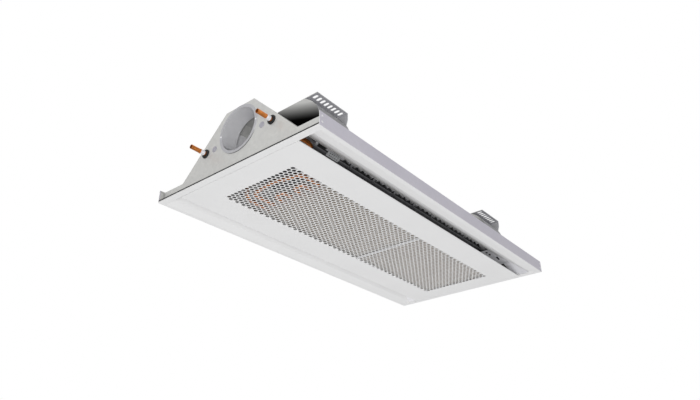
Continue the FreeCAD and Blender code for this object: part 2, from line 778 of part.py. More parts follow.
def coil_plate(label, x_low):
    """Tube plate at one end of the coil."""
    body = new_body(label)
    half = "$coil_width / 2"
    outline = rectangle("-" + half, half, "$coil_bottom", "$coil_bottom + $coil_height")
    holes = [("circle", tube_y(column), ROW_Z, "$tube_radius + 0.05") for column in range(COLUMNS)]
    pad(body, sketch_on(body, "YZ_Plane", x_low, [outline] + holes), "$frame_sheet")
    return body


def coil_fins():
    """Pack of thin fins pressed on the tubes. Drawn at a coarser pitch than real fins."""
    start = num("$coil_start + $frame_sheet + $fin_pitch / 2")
    room = num("$coil_length - 2 * $frame_sheet - $fin_pitch")
    pitch = num("$fin_pitch")
    half = num("$coil_width / 2 - $frame_sheet - 0.3")
    low, high = num("$coil_bottom + 1"), num("$coil_bottom + $coil_height - 1")
    count = int(floor(room / pitch)) + 1
    corners = [V(start, -half, low), V(start, half, low), V(start, half, high), V(start, -half, high)]
    wires = [Part.makePolygon(corners + corners[:1])]
    for column in range(COLUMNS):
        middle = V(start, num(tube_y(column)), num(ROW_Z))
        wires.append(Part.Wire([Part.makeCircle(num("$tube_radius + 0.05"), middle, V(1, 0, 0))]))
    fin = Part.Face(wires, "Part::FaceMakerBullseye").extrude(V(num("$fin_sheet"), 0, 0))
    made = doc.addObject("Part::Feature", "coil_fins")
    made.Shape = Part.makeCompound([fin.translated(V(i * pitch, 0, 0)) for i in range(count)])
    made.Label = "coil_fins"
    return made


def coil_tubes():
    """Straight tubes, which stick out of both tube plates."""
    return group("coil_tubes", [
        tube("coil_tube_%d" % column, "x", TUBE_LOW, tube_y(column), ROW_Z, "$tube_radius", "$tube_wall",
             "%s - %s" % (TUBE_HIGH, TUBE_LOW)) for column in range(COLUMNS)])


def return_bend(name, x, column, end):
    """Half ring that joins two tubes beside each other."""
    rings = []
    for part, radius in (("outer", "$tube_radius"), ("inner", "$tube_radius - $tube_wall")):
        ring = doc.addObject("Part::Torus", name + "_" + part)
        ring.setExpression("Radius1", ex("$tube_pitch / 2"))
        ring.setExpression("Radius2", ex(radius))
        ring.Angle3 = 180
        ring.Placement.Rotation = FreeCAD.Rotation(V(0, 0, 1), -90 * end)
        place(ring, x, "(%s + %s) / 2" % (tube_y(column), tube_y(column + 1)), ROW_Z)
        rings.append(ring)
    return cut(name, rings[0], rings[1])


def return_bends(label, end, columns):
    """Bends at one end, each from the tube of a column to the next."""
    x = TUBE_HIGH if end == 1 else TUBE_LOW
    return group(label, [return_bend("%s_%d" % (label, column), x, column, end) for column in columns])


def coil_sides():
    """Side sheets of the coil, between its tube plates."""
    outer = "($coil_width / 2)"
    inner = "($coil_width / 2 - $frame_sheet)"
    x_low, x_high = "$coil_start + $frame_sheet", COIL_END + " - $frame_sheet"
    top = "$coil_bottom + $coil_height"
    return group("coil_side_sheets", [
        box("coil_side_near", x_low, x_high, "-" + outer, "-" + inner, "$coil_bottom", top),
        box("coil_side_far", x_low, x_high, inner, outer, "$coil_bottom", top)])


def coil_straps():
    """Straps that hang the coil from the plenum tray and leave a gap for the room air."""
    slope = "(($tray_height - %s) / (%s - $hood_sheet - $tray_half))" % (WEB_Z, WEB_Y)
    inner = "($coil_width / 2)"
    outer = "($coil_width / 2 + $frame_sheet)"
    top = "$tray_height - (%s - $tray_half) * %s - 0.1" % (outer, slope)
    straps = []
    for side in (-1, 1):
        y_low, y_high = (inner, outer) if side == 1 else ("-" + outer, "-" + inner)
        for i in range(3):
            x = "($coil_start + 40 + %d * ($coil_length - 80) / 2)" % i
            straps.append(box("strap_%d_%d" % (side, i), x + " - $strap_width / 2",
                              x + " + $strap_width / 2", y_low, y_high, "$coil_bottom + 3", top))
    return group("coil_straps", straps)


def bent_bar(points, radius, bend):
    """Solid round bar along straight runs that tangent arcs of one radius join."""
    edges = []
    last = points[0]
    for before, corner, after in zip(points, points[1:], points[2:]):
        way_in = (corner - before).normalize()
        way_out = (after - corner).normalize()
        half_turn = (way_out - way_in).Length / 2
        setback = bend * half_turn / sqrt(1 - half_turn ** 2)
        rise = bend / sqrt(1 - half_turn ** 2) - bend
        start = corner - way_in * setback
        end = corner + way_out * setback
        middle_way = (way_out - way_in).normalize()
        edges.append(Part.LineSegment(last, start).toShape())
        edges.append(Part.Arc(start, corner + middle_way * rise, end).toShape())
        last = end
    edges.append(Part.LineSegment(last, points[-1]).toShape())
    ring = Part.Wire([Part.makeCircle(radius, points[0], points[1] - points[0])])
    return Part.Wire(edges).makePipeShell([ring], True, False)


def bent_pipe(label, points, radius, wall, bend):
    """Hollow pipe along a route of points."""
    made = doc.addObject("Part::Feature", label)
    made.Shape = bent_bar(points, radius, bend).cut(bent_bar(points, radius - wall, bend))
    made.Label = label
    return made


def connection_pipe(label, side):
    """Pipe from its open tail outside the end plate down to the outermost tube."""
    x_tail = num("-%s - $pipe_reach" % END_FACE)
    y, z = side * num("$pipe_half_span"), num("$pipe_height")
    x_drop = num(TUBE_LOW + " - $pipe_drop")
    column = 0 if side == -1 else COLUMNS - 1
    tube_end = V(num(TUBE_LOW), num(tube_y(column)), num(ROW_Z))
    route = [V(x_tail, y, z), V(x_drop, y, z), V(x_drop, tube_end.y, tube_end.z), tube_end]
    made = bent_pipe(label, route, num("$pipe_radius"), num("$pipe_wall"), num("$pipe_bend"))
    # the tail is drawn down to its coupling's size
    radius, tail = num("$pipe_radius"), num("$pipe_tail")
    sleeve = Part.makeCylinder(radius + 1, tail, route[0], V(1, 0, 0))
    core = Part.makeCylinder(radius - num("$pipe_tail_step"), tail, route[0], V(1, 0, 0))
    made.Shape = made.Shape.cut(sleeve.cut(core))
    return made


def inlet_cross_pipe():
    """Wide loop in the inlet chamber that joins the second tube of each side."""
    x, z = num(TUBE_LOW), num(ROW_Z)
    far = x - num("$inlet_cross_reach + $inlet_cross_bow / 3")
    bow, skew = num("$inlet_cross_bow"), num("$inlet_cross_skew")
    y_near, y_far = num(tube_y(1)), num(tube_y(COLUMNS - 2))
    route = [V(x, y_near, z), V(far + bow, y_near - skew, z), V(far, 0, z),
             V(far + bow * 2 / 3, y_far, z), V(x, y_far, z)]
    radius = num("$tube_radius")
    return bent_pipe("cross_pipe_inlet", route, radius, num("$tube_wall"), num("$pipe_bend"))


def outer_cross_pipe():
    """Loop over the return bends that leads the water back across at the outer end."""
    x, z = num(TUBE_HIGH), num(ROW_Z)
    out, up = x + num("$outer_cross_reach"), z + num("$outer_cross_rise")
    y_near, y_far = num(tube_y(MIDDLE - 2)), num(tube_y(COLUMNS - 1))
    route = [V(x, y_near, z), V(out, y_near, z), V(out, y_near, up), V(out, y_far, up),
             V(out, y_far, z), V(x, y_far, z)]
    radius = num("$tube_radius")
    return bent_pipe("cross_pipe_outer", route, radius, num("$tube_wall"), num("$outer_cross_bend"))


node(coil_plate("coil_plate_inlet", "$coil_start"))
node(coil_plate("coil_plate_outer", COIL_END + " - $frame_sheet"))
node(coil_fins())
node(coil_tubes())
node(return_bends("return_bends_inlet", -1, [MIDDLE - 2, MIDDLE]))
node(return_bends("return_bends_outer", 1, [0, MIDDLE - 1, MIDDLE + 1]))
node(coil_sides())
node(coil_straps())
node(inlet_cross_pipe())
node(outer_cross_pipe())
node(connection_pipe("supply_pipe", -1))
node(connection_pipe("return_pipe", 1))


# What closes the inlet end plate around the pipes


def grommet(name, side):
    """Rubber grommet that grips the end plate and seals its pipe."""
    y = "%d * $pipe_half_span" % side
    length = "2 * $grommet_lip + $plate_sheet"
    start = "-%s - $grommet_lip" % END_FACE
    outside = cylinder(name + "_outside", "x", start, y, "$pipe_height", "$grommet_radius", "$grommet_lip")
    inside = cylinder(name + "_inside", "x", "-" + END_INSIDE, y, "$pipe_height",
                      "$grommet_radius - 1", "$grommet_lip")
    neck = cylinder(name + "_neck", "x", start, y, "$pipe_height", "$grommet_neck", length)
    bore = cylinder(name + "_bore", "x", start, y, "$pipe_height", "$pipe_radius + 0.05", length)
    return cut(name, fuse(name + "_rubber", [outside, inside, neck]), bore)


def plug(name, side):
    """Snap-in plug in a spare hole of the end plate."""
    y = "%d * $plug_half_span" % side
    start = "-%s - 2" % END_FACE
    cap = cylinder(name + "_cap", "x", start, y, "$plug_height", "$plug_radius", "2")
    neck = cylinder(name + "_neck", "x", start, y, "$plug_height", "$plug_neck", "4 + $plate_sheet")
    hollow = cylinder(name + "_hollow", "x", "-%s - 0.5" % END_FACE, y, "$plug_height",
                      "$plug_neck - 1.2", "5 + $plate_sheet")
    return cut(name, fuse(name + "_body", [cap, neck]), hollow)


def band(name, side):
    """Blank marking band around a pipe tail."""
    y = "%d * $pipe_half_span" % side
    start = "-%s - $pipe_reach + $pipe_tail + 2" % END_FACE
    return tube(name, "x", start, y, "$pipe_height", "$pipe_radius + 0.05 + $band_wall",
                "$band_wall", "$band_length")


node(group("pipe_grommets", [grommet("grommet_" + word, side) for word, side in SIDES.items()]))
node(group("blanking_plugs", [plug("plug_" + word, side) for word, side in SIDES.items()]))
node(group("pipe_bands", [band("band_" + word, side) for word, side in SIDES.items()]))


# Hangers


def hanger(label, side, middle):
    """Bracket over the hood's slope: slotted top flange, curved leg, end wall and gusset."""
    body = new_body(label)
    start = "(%s - $hanger_length / 2)" % middle
    thick = "$hanger_sheet"
    top = "$body_height"
    under = "($body_height - $hanger_sheet)"
    hip_z = "($body_height - $hanger_hip_drop)"
    foot_y = "($hanger_hip + 11)"
    foot_z = "(%s + $hood_sheet + %s)" % (guide_top(foot_y), FIT)
    toe_y = "(%s + 12)" % foot_y
    toe_z = "(%s + $hood_sheet + %s)" % (guide_top(toe_y), FIT)
    bend_in = "($hanger_bend - $hanger_sheet)"
    leg = [("$hanger_knee", under + " + 1"), ("$hanger_hip", hip_z, "$hanger_bend", 1),
           (foot_y + " + $hanger_sheet", foot_z + " + $hanger_sheet"),
           (toe_y, toe_z + " + $hanger_sheet"), (toe_y, toe_z), (foot_y, foot_z),
           ("$hanger_hip - $hanger_sheet", hip_z),
           ("$hanger_knee - $hanger_sheet", under + " + 1", bend_in, -1)]
    pad(body, sketch_on(body, "YZ_Plane", start, [sided(side, leg)]), "$hanger_length")
    # flange with its row of slots, which also bridges to the hood's shoulder
    low_y, high_y = "(%s - (%s))" % (HOOD_OUT, under), "$hanger_reach"
    if side == -1:
        low_y, high_y = "-" + high_y, "-" + low_y
    outline = rectangle(start, start + " + $hanger_length", low_y, high_y)
    slots = []
    half_slot = "($hanger_slot / 2 - $hanger_slot_width / 2)"
    radius = "($hanger_slot_width / 2)"
    centre_y = "(%d * $hanger_slot_middle)" % side
    for i in range(int(num("$hanger_slot_count"))):
        x = "(%s + (%d - ($hanger_slot_count - 1) / 2) * $hanger_slot_pitch)" % (middle, i)
        low, high = "%s - %s" % (centre_y, half_slot), "%s + %s" % (centre_y, half_slot)
        slots.append(("slot", x, low, high, radius))
    pad(body, sketch_on(body, "XY_Plane", under, [outline] + slots), thick)
    # end wall towards the inlet, down to the hood's slope
    wall = [("%s - (%s) + %s" % (HOOD_OUT, under, FIT), under + " + 1"), ("$hanger_knee - 1", under + " + 1"),
            ("$hanger_hip - 1", hip_z, bend_in + " + 1", 1), (foot_y, foot_z + " + 2"),
            ("%s - (%s + 2) + %s" % (HOOD_OUT, foot_z, FIT), foot_z + " + 2")]
    pad(body, sketch_on(body, "YZ_Plane", start, [sided(side, wall)]), thick)
    # gusset under the flange's overhang at the other end
    gusset = [("$hanger_knee + 6", under + " + 1"), ("$hanger_reach", under + " + 1"),
              ("$hanger_reach", top + " - 21"), ("$hanger_reach - 7", top + " - 45"),
              ("$hanger_knee + 20", top + " - 22")]
    pad(body, sketch_on(body, "YZ_Plane", start + " + $hanger_length - " + thick,
                        [sided(side, gusset)]), thick)
    return body


ENDS = {"inlet": "($hanger_shift - $hanger_pitch / 2)", "outer": "($hanger_shift + $hanger_pitch / 2)"}
for end_word, middle in ENDS.items():
    for word, side in SIDES.items():
        node(hanger("hanger_%s_%s" % (end_word, word), side, middle))


# Rivets of the frame


def frame_rivets():
    """Two rivets at each end of each skirt."""
    heads = []
    for word, side in SIDES.items():
        for end in (-1, 1):
            for k, z in enumerate(("$skirt_height - 10.9", "$skirt_height - 26.8")):
                heads.append(rivet("skirt_rivet_%s_%d_%d" % (word, end, k),
                                   "%d * (%s + 5)" % (end, END_FACE), "%d * %s" % (side, HALF_WIDTH), z,
                                   V(0, side, 0)))
    return group("frame_rivets", heads)


node(frame_rivets())


# Hinged face panel


def face_panel():
    """White tray between the slots, open where the perforated field lies."""
    body = new_body("face_panel")
    edge = rectangle("-" + PANEL_END, PANEL_END, PANEL_NEAR, PANEL_FAR)
    field = rectangle(*["$grille_shift %s $grille_length / 2" % sign for sign in "-+"],
                      *["$panel_shift %s $grille_width / 2" % sign for sign in "-+"])
    pad(body, sketch_on(body, "XY_Plane", "0", [edge, field]), "$frame_sheet")
    # the long edges are hemmed flat, and only the ends turn up
    for low, high in ((PANEL_NEAR, PANEL_NEAR + " + $panel_hem"), (PANEL_FAR + " - $panel_hem", PANEL_FAR)):
        hem = rectangle("-" + PANEL_END, PANEL_END, low, high)
        pad(body, sketch_on(body, "XY_Plane", "0", [hem]), "2 * $frame_sheet")
    for low, high in (("-" + PANEL_END, "-%s + $frame_sheet" % PANEL_END),
                      (PANEL_END + " - $frame_sheet", PANEL_END)):
        pad(body, sketch_on(body, "XY_Plane", "0", [rectangle(low, high, PANEL_NEAR, PANEL_FAR)]),
            "$panel_flange")
    hole = sketch_on(body, "YZ_Plane", PANEL_END + " + 1",
                     [("circle", HINGE_Y, "$hinge_height", "$pin_radius + $pin_clearance")])
    pocket(body, hole, "2 * %s + 2" % PANEL_END)
    return body


def perforated_sheet():
    """Perforated field of the panel, drawn with fewer and larger holes than the real one."""
    length, width = num("$grille_length"), num("$grille_width")
    pitch, row_pitch = num("$grille_pitch"), num("$grille_row_pitch")
    half = num("$grille_hole") / 2
    middle = V(num("$grille_shift"), num("$panel_shift"), 0)
    columns = 2 * int(floor((length - row_pitch) / pitch / 2))
    rows = int(floor((width - row_pitch / 2) / row_pitch))
    wires = [Part.makePolygon([V(-length / 2, -width / 2, 0), V(length / 2, -width / 2, 0),
                               V(length / 2, width / 2, 0), V(-length / 2, width / 2, 0),
                               V(-length / 2, -width / 2, 0)])]
    for i in range(columns):
        x = (i - (columns - 1) / 2) * pitch
        stagger = row_pitch / 4 if i % 2 else -row_pitch / 4
        for j in range(rows):
            y = (j - (rows - 1) / 2) * row_pitch + stagger
            corners = [V(x - half, y - half, 0), V(x - half, y + half, 0),
                       V(x + half, y + half, 0), V(x + half, y - half, 0)]
            wires.append(Part.makePolygon(corners + corners[:1]))
    made = doc.addObject("Part::Feature", "perforated_sheet")
    made.Shape = Part.Face(wires).extrude(V(0, 0, num("$frame_sheet"))).translated(middle)
    made.Label = "perforated_sheet"
    return made


def panel_rib():
    """Rib across the back of the perforated field."""
    half = "($grille_width / 2 + 12)"
    made = box("panel_rib", "$rib_x - $rib_width / 2", "$rib_x + $rib_width / 2",
               "$panel_shift - " + half, "$panel_shift + " + half, "$frame_sheet",
               "$frame_sheet + $rib_height")
    made.Label = "panel_rib"
    return made


def catch_spring(name, end):
    """Spring fork on an end plate that grips a stud of the panel from above."""
    def span(low, high):
        return (low, high) if end == 1 else ("-(%s)" % high, "-(%s)" % low)

    arm_x = "(%s - $frame_sheet - $stud_length + 1)" % PANEL_END
    y_low, y_high = CATCH_Y + " - $catch_width / 2", CATCH_Y + " + $catch_width / 2"
    bridge_z = "($panel_flange + 6)"
    leaf = box(name + "_leaf", *span(END_INSIDE + " - $catch_sheet", END_INSIDE), y_low, y_high,
               bridge_z, "$panel_flange + $catch_height")
    bridge = box(name + "_bridge", *span(arm_x, END_INSIDE), y_low, y_high,
                 bridge_z + " - $catch_sheet", bridge_z)
    blade = box(name + "_blade", *span(arm_x, arm_x + " + $catch_sheet"), y_low, y_high,
                "$hinge_height - $stud_radius", bridge_z)
    mouth = box(name + "_mouth", *span(arm_x + " - 1", arm_x + " + $catch_sheet + 1"),
                "%s - $stud_radius - %s" % (CATCH_Y, FIT), "%s + $stud_radius + %s" % (CATCH_Y, FIT),
                "0", "$hinge_height + $stud_radius + " + FIT)
    return cut(name, fuse(name + "_strip", [leaf, bridge, blade]), mouth)


def pair(label, make):
    return group(label, [make("%s_%s" % (label, word), end) for word, end in (("inlet", -1), ("outer", 1))])


def hinge_pin(name, end):
    """Pin fixed in the end strip's upstand, with its tip through the panel's flange."""
    start, length = PANEL_END + " - $pin_reach", "%s - %s + $pin_reach - 0.1" % (END_INSIDE, PANEL_END)
    x = start if end == 1 else "-(%s) - (%s)" % (start, length)
    return cylinder(name, "x", x, HINGE_Y, "$hinge_height", "$pin_radius", length)


def panel_stud(name, end):
    """Stud on the panel's end flange for the catch."""
    x = "%s - $frame_sheet - $stud_length" % PANEL_END if end == 1 else "-%s + $frame_sheet" % PANEL_END
    return cylinder(name, "x", x, CATCH_Y, "$hinge_height", "$stud_radius", "$stud_length")


node(face_panel())
node(perforated_sheet())
node(panel_rib())
node(pair("panel_studs", panel_stud))
node(pair("hinge_pins", hinge_pin))
node(pair("catch_springs", catch_spring))


doc.recompute()
faults = [o.Label for o in doc.Objects if "Invalid" in o.State or "Error" in o.State]
for made in NODES:
    shape = made.Shape
    if shape.isNull() or not shape.isValid() or not shape.Solids:
        faults.append(made.Label + " (shape)")
if faults:
    raise RuntimeError("failed objects: " + ", ".join(faults))
for made in NODES:
    made.Shape.exportStep("parts/%s.step" % made.Label)
print(len(NODES), "sub-parts written")
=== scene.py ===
"""An active chilled beam as it hangs in a ceiling, seen from the room below."""

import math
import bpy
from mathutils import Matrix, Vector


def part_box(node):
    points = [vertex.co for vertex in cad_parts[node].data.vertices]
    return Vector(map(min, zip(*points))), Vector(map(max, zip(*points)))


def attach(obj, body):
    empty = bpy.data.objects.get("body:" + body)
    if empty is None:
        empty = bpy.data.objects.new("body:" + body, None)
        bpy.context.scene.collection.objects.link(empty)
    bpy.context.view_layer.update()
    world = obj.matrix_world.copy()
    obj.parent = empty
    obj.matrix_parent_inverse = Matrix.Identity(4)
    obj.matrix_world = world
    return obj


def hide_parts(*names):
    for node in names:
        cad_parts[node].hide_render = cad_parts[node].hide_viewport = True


bl_info = {
    "name": "Active Chilled Beam",
    "version": (1, 0, 0),
    "blender": (4, 5, 0),
    "location": "3D View > Sidebar > Chilled Beam",
    "description": "Dresses the frame of a lay-in chilled beam with its sheet metal, coil and nozzles",
    "category": "Add Mesh",
}

import bmesh
import bpy
from bpy.props import FloatProperty, FloatVectorProperty, IntProperty, PointerProperty
from mathutils import Euler, Matrix, Vector

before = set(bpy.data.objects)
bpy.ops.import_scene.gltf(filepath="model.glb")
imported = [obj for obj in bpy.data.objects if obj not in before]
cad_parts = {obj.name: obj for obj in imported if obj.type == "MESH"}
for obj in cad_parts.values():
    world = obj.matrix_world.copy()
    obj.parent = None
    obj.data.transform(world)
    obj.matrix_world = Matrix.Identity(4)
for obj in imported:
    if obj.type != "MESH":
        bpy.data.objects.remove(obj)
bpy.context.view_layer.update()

MM = 0.001
CASING, PANEL = "casing", "panel"
SIDES = {"near": -1, "far": 1}

# inside of the hood's slope, in mm: along it the distance from the middle and the height add up to this
SLOPE = 249.586
# the rail's corner on that slope: its height and its distance from the middle
RAIL_UP = 70.3
RAIL_OUT = SLOPE - RAIL_UP
# the coil's tubes: how many lie side by side, how far apart, and the radius of their holes in a fin, in mm
TUBES, TUBE_PITCH, TUBE_HOLE = 8, 35.0, 6.1
# height and thickness of the end strip's outer lip, in mm
LIP_TOP, LIP_SHEET = 4.0, 1.2

# factors on a sheet's colour: full tone, faintly stained, painted shade in a corner, and the black of deep
# painted shade
FULL_TONE, STAINED = (1, 1, 1, 1), (0.95, 0.95, 0.96, 1)
PAINTED_CORNER_SHADE, PAINTED_DEEP_SHADE = (0.12, 0.12, 0.12, 1), (0.02, 0.02, 0.025, 1)


def srgb(code):
    """Linear colour of an sRGB hex value such as #C8CACD."""
    parts = [int(code[i:i + 2], 16) / 255 for i in (1, 3, 5)]
    return tuple(c / 12.92 if c <= 0.04045 else ((c + 0.055) / 1.055) ** 2.4 for c in parts) + (1.0,)


# Sizes and colours that a user can change


class PerforationSizes(bpy.types.PropertyGroup):
    pitch_along: FloatProperty(name="Pitch along", description="Distance between columns of holes",
                               default=11.56 * MM, min=0.006, max=0.03, subtype="DISTANCE")
    pitch_across: FloatProperty(name="Pitch across", description="Distance between holes of a column",
                                default=14.18 * MM, min=0.006, max=0.03, subtype="DISTANCE")
    hole: FloatProperty(name="Hole", description="Diameter of a hole", default=11.8 * MM,
                        min=0.001, max=0.0135, subtype="DISTANCE")


class CoilSizes(bpy.types.PropertyGroup):
    fin_pitch: FloatProperty(name="Fin pitch", description="Distance between fins", default=3.0 * MM,
                             min=0.0015, max=0.01, subtype="DISTANCE")
    fin_sheet: FloatProperty(name="Fin sheet", description="Thickness of a fin", default=0.25 * MM,
                             min=0.0001, max=0.001, subtype="DISTANCE")


class NozzleSizes(bpy.types.PropertyGroup):
    pitch: FloatProperty(name="Pitch", description="Distance between nozzles", default=25 * MM,
                         min=0.01, max=0.05, subtype="DISTANCE")
    count: IntProperty(name="Count", description="Nozzles of a row", default=30, min=2, max=60)
    first: FloatProperty(name="First", description="Place of the first nozzle along the beam",
                         default=-343 * MM, subtype="DISTANCE")


class FinishColours(bpy.types.PropertyGroup):
    enamel: FloatVectorProperty(name="Enamel", description="Powder coat of the face", subtype="COLOR",
                                size=4, min=0, max=1, default=srgb("#ECECEC"))
    zinc: FloatVectorProperty(name="Zinc", description="Galvanised casing", subtype="COLOR",
                              size=4, min=0, max=1, default=srgb("#CCCCC9"))
    copper: FloatVectorProperty(name="Copper", description="Bare copper tube", subtype="COLOR",
                                size=4, min=0, max=1, default=srgb("#D2803C"))


SETTINGS = {"beam_perforation": PerforationSizes, "beam_coil": CoilSizes, "beam_nozzles": NozzleSizes,
            "beam_colours": FinishColours}


# Materials


def add_node(tree, kind, values=None, links=None, **settings):
    """Adds a node with its settings, the values of its sockets and the links into them."""
    made = tree.nodes.new(kind)
    for name, value in settings.items():
        setattr(made, name, value)
    for socket, value in (values or {}).items():
        made.inputs[socket].default_value = value
    for socket, source in (links or {}).items():
        tree.links.new(source, made.inputs[socket])
    return made


def per_metre(size_mm):
    """Texture scale at which one feature of a pattern measures size_mm."""
    return 1000.0 / size_mm


def new_material(name, **values):
    """A material of one shader whose sockets are set, and the tree to build on."""
    material = bpy.data.materials.new(name)
    material.use_nodes = True
    tree = material.node_tree
    tree.nodes.clear()
    shader = add_node(tree, "ShaderNodeBsdfPrincipled", values=values)
    output = add_node(tree, "ShaderNodeOutputMaterial", links={"Surface": shader.outputs["BSDF"]})
    output.location.x = 300
    place = add_node(tree, "ShaderNodeTexCoord").outputs["Object"]
    return material, tree, shader, place


def colour_between(tree, factor, low, high, low_at=0.3, high_at=0.7):
    """Colour that runs from low to high as the factor goes from low_at to high_at."""
    ramp = add_node(tree, "ShaderNodeValToRGB", links={"Fac": factor})
    first, second = ramp.color_ramp.elements
    first.position, first.color = low_at, low
    second.position, second.color = high_at, high
    return ramp.outputs["Color"]


def shade(colour, by):
    """A colour made darker or lighter by a factor."""
    return tuple(min(1.0, c * by) for c in colour[:3]) + (1.0,)


def range_of(tree, factor, low, high):
    """Maps a factor of 0 to 1 to a range of values."""
    return add_node(tree, "ShaderNodeMapRange", values={"To Min": low, "To Max": high},
                    links={"Value": factor}).outputs["Result"]


def powder_coat(name, colour, roughness=0.5):
    """Polyester powder coat, baked on: a satin film with a fine orange peel."""
    material, tree, shader, place = new_material(name, Roughness=roughness, IOR=1.5)
    shader.inputs["Specular IOR Level"].default_value = 0.35
    cloud = add_node(tree, "ShaderNodeTexNoise", values={"Scale": per_metre(140), "Detail": 2.0},
                     links={"Vector": place})
    tint = colour_between(tree, cloud.outputs["Fac"], shade(colour, 0.985), shade(colour, 1.01))
    tree.links.new(tint, shader.inputs["Base Color"])
    # real orange peel is near 1 mm; it is drawn at 3 mm so that it shows in a close view
    peel = add_node(tree, "ShaderNodeTexNoise", values={"Scale": per_metre(3), "Detail": 1.0},
                    links={"Vector": place})
    bump = add_node(tree, "ShaderNodeBump", values={"Strength": 0.06, "Distance": 0.0003},
                    links={"Height": peel.outputs["Fac"]})
    tree.links.new(bump.outputs["Normal"], shader.inputs["Normal"])
    return material


def multiplied(tree, first, second):
    """Result colour of two colours multiplied."""
    made = add_node(tree, "ShaderNodeMix", data_type="RGBA", blend_type="MULTIPLY")
    factor = next(s for s in made.inputs if s.enabled and s.name == "Factor")
    colours = [s for s in made.inputs if s.enabled and s.name in ("A", "B") and s.type == "RGBA"]
    factor.default_value = 1.0
    tree.links.new(first, colours[0])
    tree.links.new(second, colours[1])
    return next(s for s in made.outputs if s.enabled and s.type == "RGBA")


def galvanised(name, colour, metallic=0.3, roughness=0.5, spangle=0.06, corners=None, fade=None):
    """Hot-dip galvanised sheet: pale grey zinc with a soft spangle and faint stains; corners and fade add
    painted shade.

    corners holds the reach in mm of the painted shade in the corners, and the openness at which it ends.
    fade holds the height in mm at which painted shade makes the sheet black, and that at which the sheet has
    its full colour.
    """
    material, tree, shader, place = new_material(name, Metallic=metallic, Roughness=roughness)
    crystals = add_node(tree, "ShaderNodeTexVoronoi", values={"Scale": per_metre(9)},
                        links={"Vector": place}, feature="F1")
    grey = add_node(tree, "ShaderNodeSeparateColor",
                    links={"Color": crystals.outputs["Color"]}).outputs["Red"]
    tint = colour_between(tree, grey, shade(colour, 1 - spangle), shade(colour, 1 + spangle / 2), 0.0, 1.0)
    cloud = add_node(tree, "ShaderNodeTexNoise", values={"Scale": per_metre(90), "Detail": 3.0},
                     links={"Vector": place})
    stain = colour_between(tree, cloud.outputs["Fac"], STAINED, FULL_TONE)
    tint = multiplied(tree, tint, stain)
    if corners:
        reach, open_at = corners
        # painted shade: the colour darkens where the sheet is closed in
        hollow = add_node(tree, "ShaderNodeAmbientOcclusion", values={"Distance": reach * MM}, samples=8)
        painted_shade = colour_between(tree, hollow.outputs["AO"], PAINTED_CORNER_SHADE, FULL_TONE, 0.1, open_at)
        tint = multiplied(tree, tint, painted_shade)
    if fade:
        black_at, lit_at = fade
        # painted shade: below a height the colour falls steeply to black
        parts = add_node(tree, "ShaderNodeSeparateXYZ", links={"Vector": place})
        lit_share = add_node(tree, "ShaderNodeMapRange",
                         values={"From Min": black_at * MM, "From Max": lit_at * MM},
                         links={"Value": parts.outputs["Z"]})
        steep = add_node(tree, "ShaderNodeMath", values={1: 3.0}, links={0: lit_share.outputs["Result"]},
                         operation="POWER")
        painted_shade = colour_between(tree, steep.outputs["Value"], PAINTED_DEEP_SHADE, FULL_TONE, 0.0, 1.0)
        tint = multiplied(tree, tint, painted_shade)
    tree.links.new(tint, shader.inputs["Base Color"])
    tree.links.new(range_of(tree, grey, roughness - 0.06, roughness + 0.06), shader.inputs["Roughness"])
    return material


def wall_with_painted_shade(name, colour):
    """Galvanised end wall of a hanger with painted shade: full colour at its free edge, darkening to black
    where it meets the hood.
    """
    material, tree, shader, place = new_material(name, Metallic=0.1, Roughness=0.6)
    shader.inputs["Specular IOR Level"].default_value = 0.0
    parts = add_node(tree, "ShaderNodeSeparateXYZ", links={"Vector": place})
    out = add_node(tree, "ShaderNodeMath", links={0: parts.outputs["Y"]}, operation="ABSOLUTE")
    over = add_node(tree, "ShaderNodeMath", values={1: 0.33},
                    links={0: out.outputs["Value"], 2: parts.outputs["Z"]}, operation="MULTIPLY_ADD")
    # painted shade: by a third of y plus z, black up to 180 mm and full colour from 235 mm
    height = add_node(tree, "ShaderNodeMapRange", values={"From Min": 0.18, "From Max": 0.235},
                      links={"Value": over.outputs["Value"]})
    lit_share = add_node(tree, "ShaderNodeMath", values={1: 1.9}, links={0: height.outputs["Result"]},
                     operation="POWER")
    tint = colour_between(tree, lit_share.outputs["Value"], shade(colour, 0.001), colour, 0.0, 1.0)
    tree.links.new(tint, shader.inputs["Base Color"])
    return material


def drawn_copper(name, colour):
    """Drawn copper tube, bare and a little dulled: brown clouds over a warm metal."""
    material, tree, shader, place = new_material(name, Metallic=0.7, Roughness=0.32)
    cloud = add_node(tree, "ShaderNodeTexNoise", values={"Scale": per_metre(14), "Detail": 4.0},
                     links={"Vector": place})
    tint = colour_between(tree, cloud.outputs["Fac"], shade(colour, 0.72), shade(colour, 1.08))
    tree.links.new(tint, shader.inputs["Base Color"])
    tree.links.new(range_of(tree, cloud.outputs["Fac"], 0.42, 0.26), shader.inputs["Roughness"])
    return material


def fin_stock(name):
    """Aluminium fin stock, rolled: bright edges with a fine grain along the strip."""
    material, tree, shader, place = new_material(name, Metallic=0.4, Roughness=0.45)
    grain = add_node(tree, "ShaderNodeTexNoise", values={"Scale": per_metre(6), "Detail": 2.0},
                     links={"Vector": place})
    tint = colour_between(tree, grain.outputs["Fac"], srgb("#D9D2C9"), srgb("#EAE4DB"))
    tree.links.new(tint, shader.inputs["Base Color"])
    return material


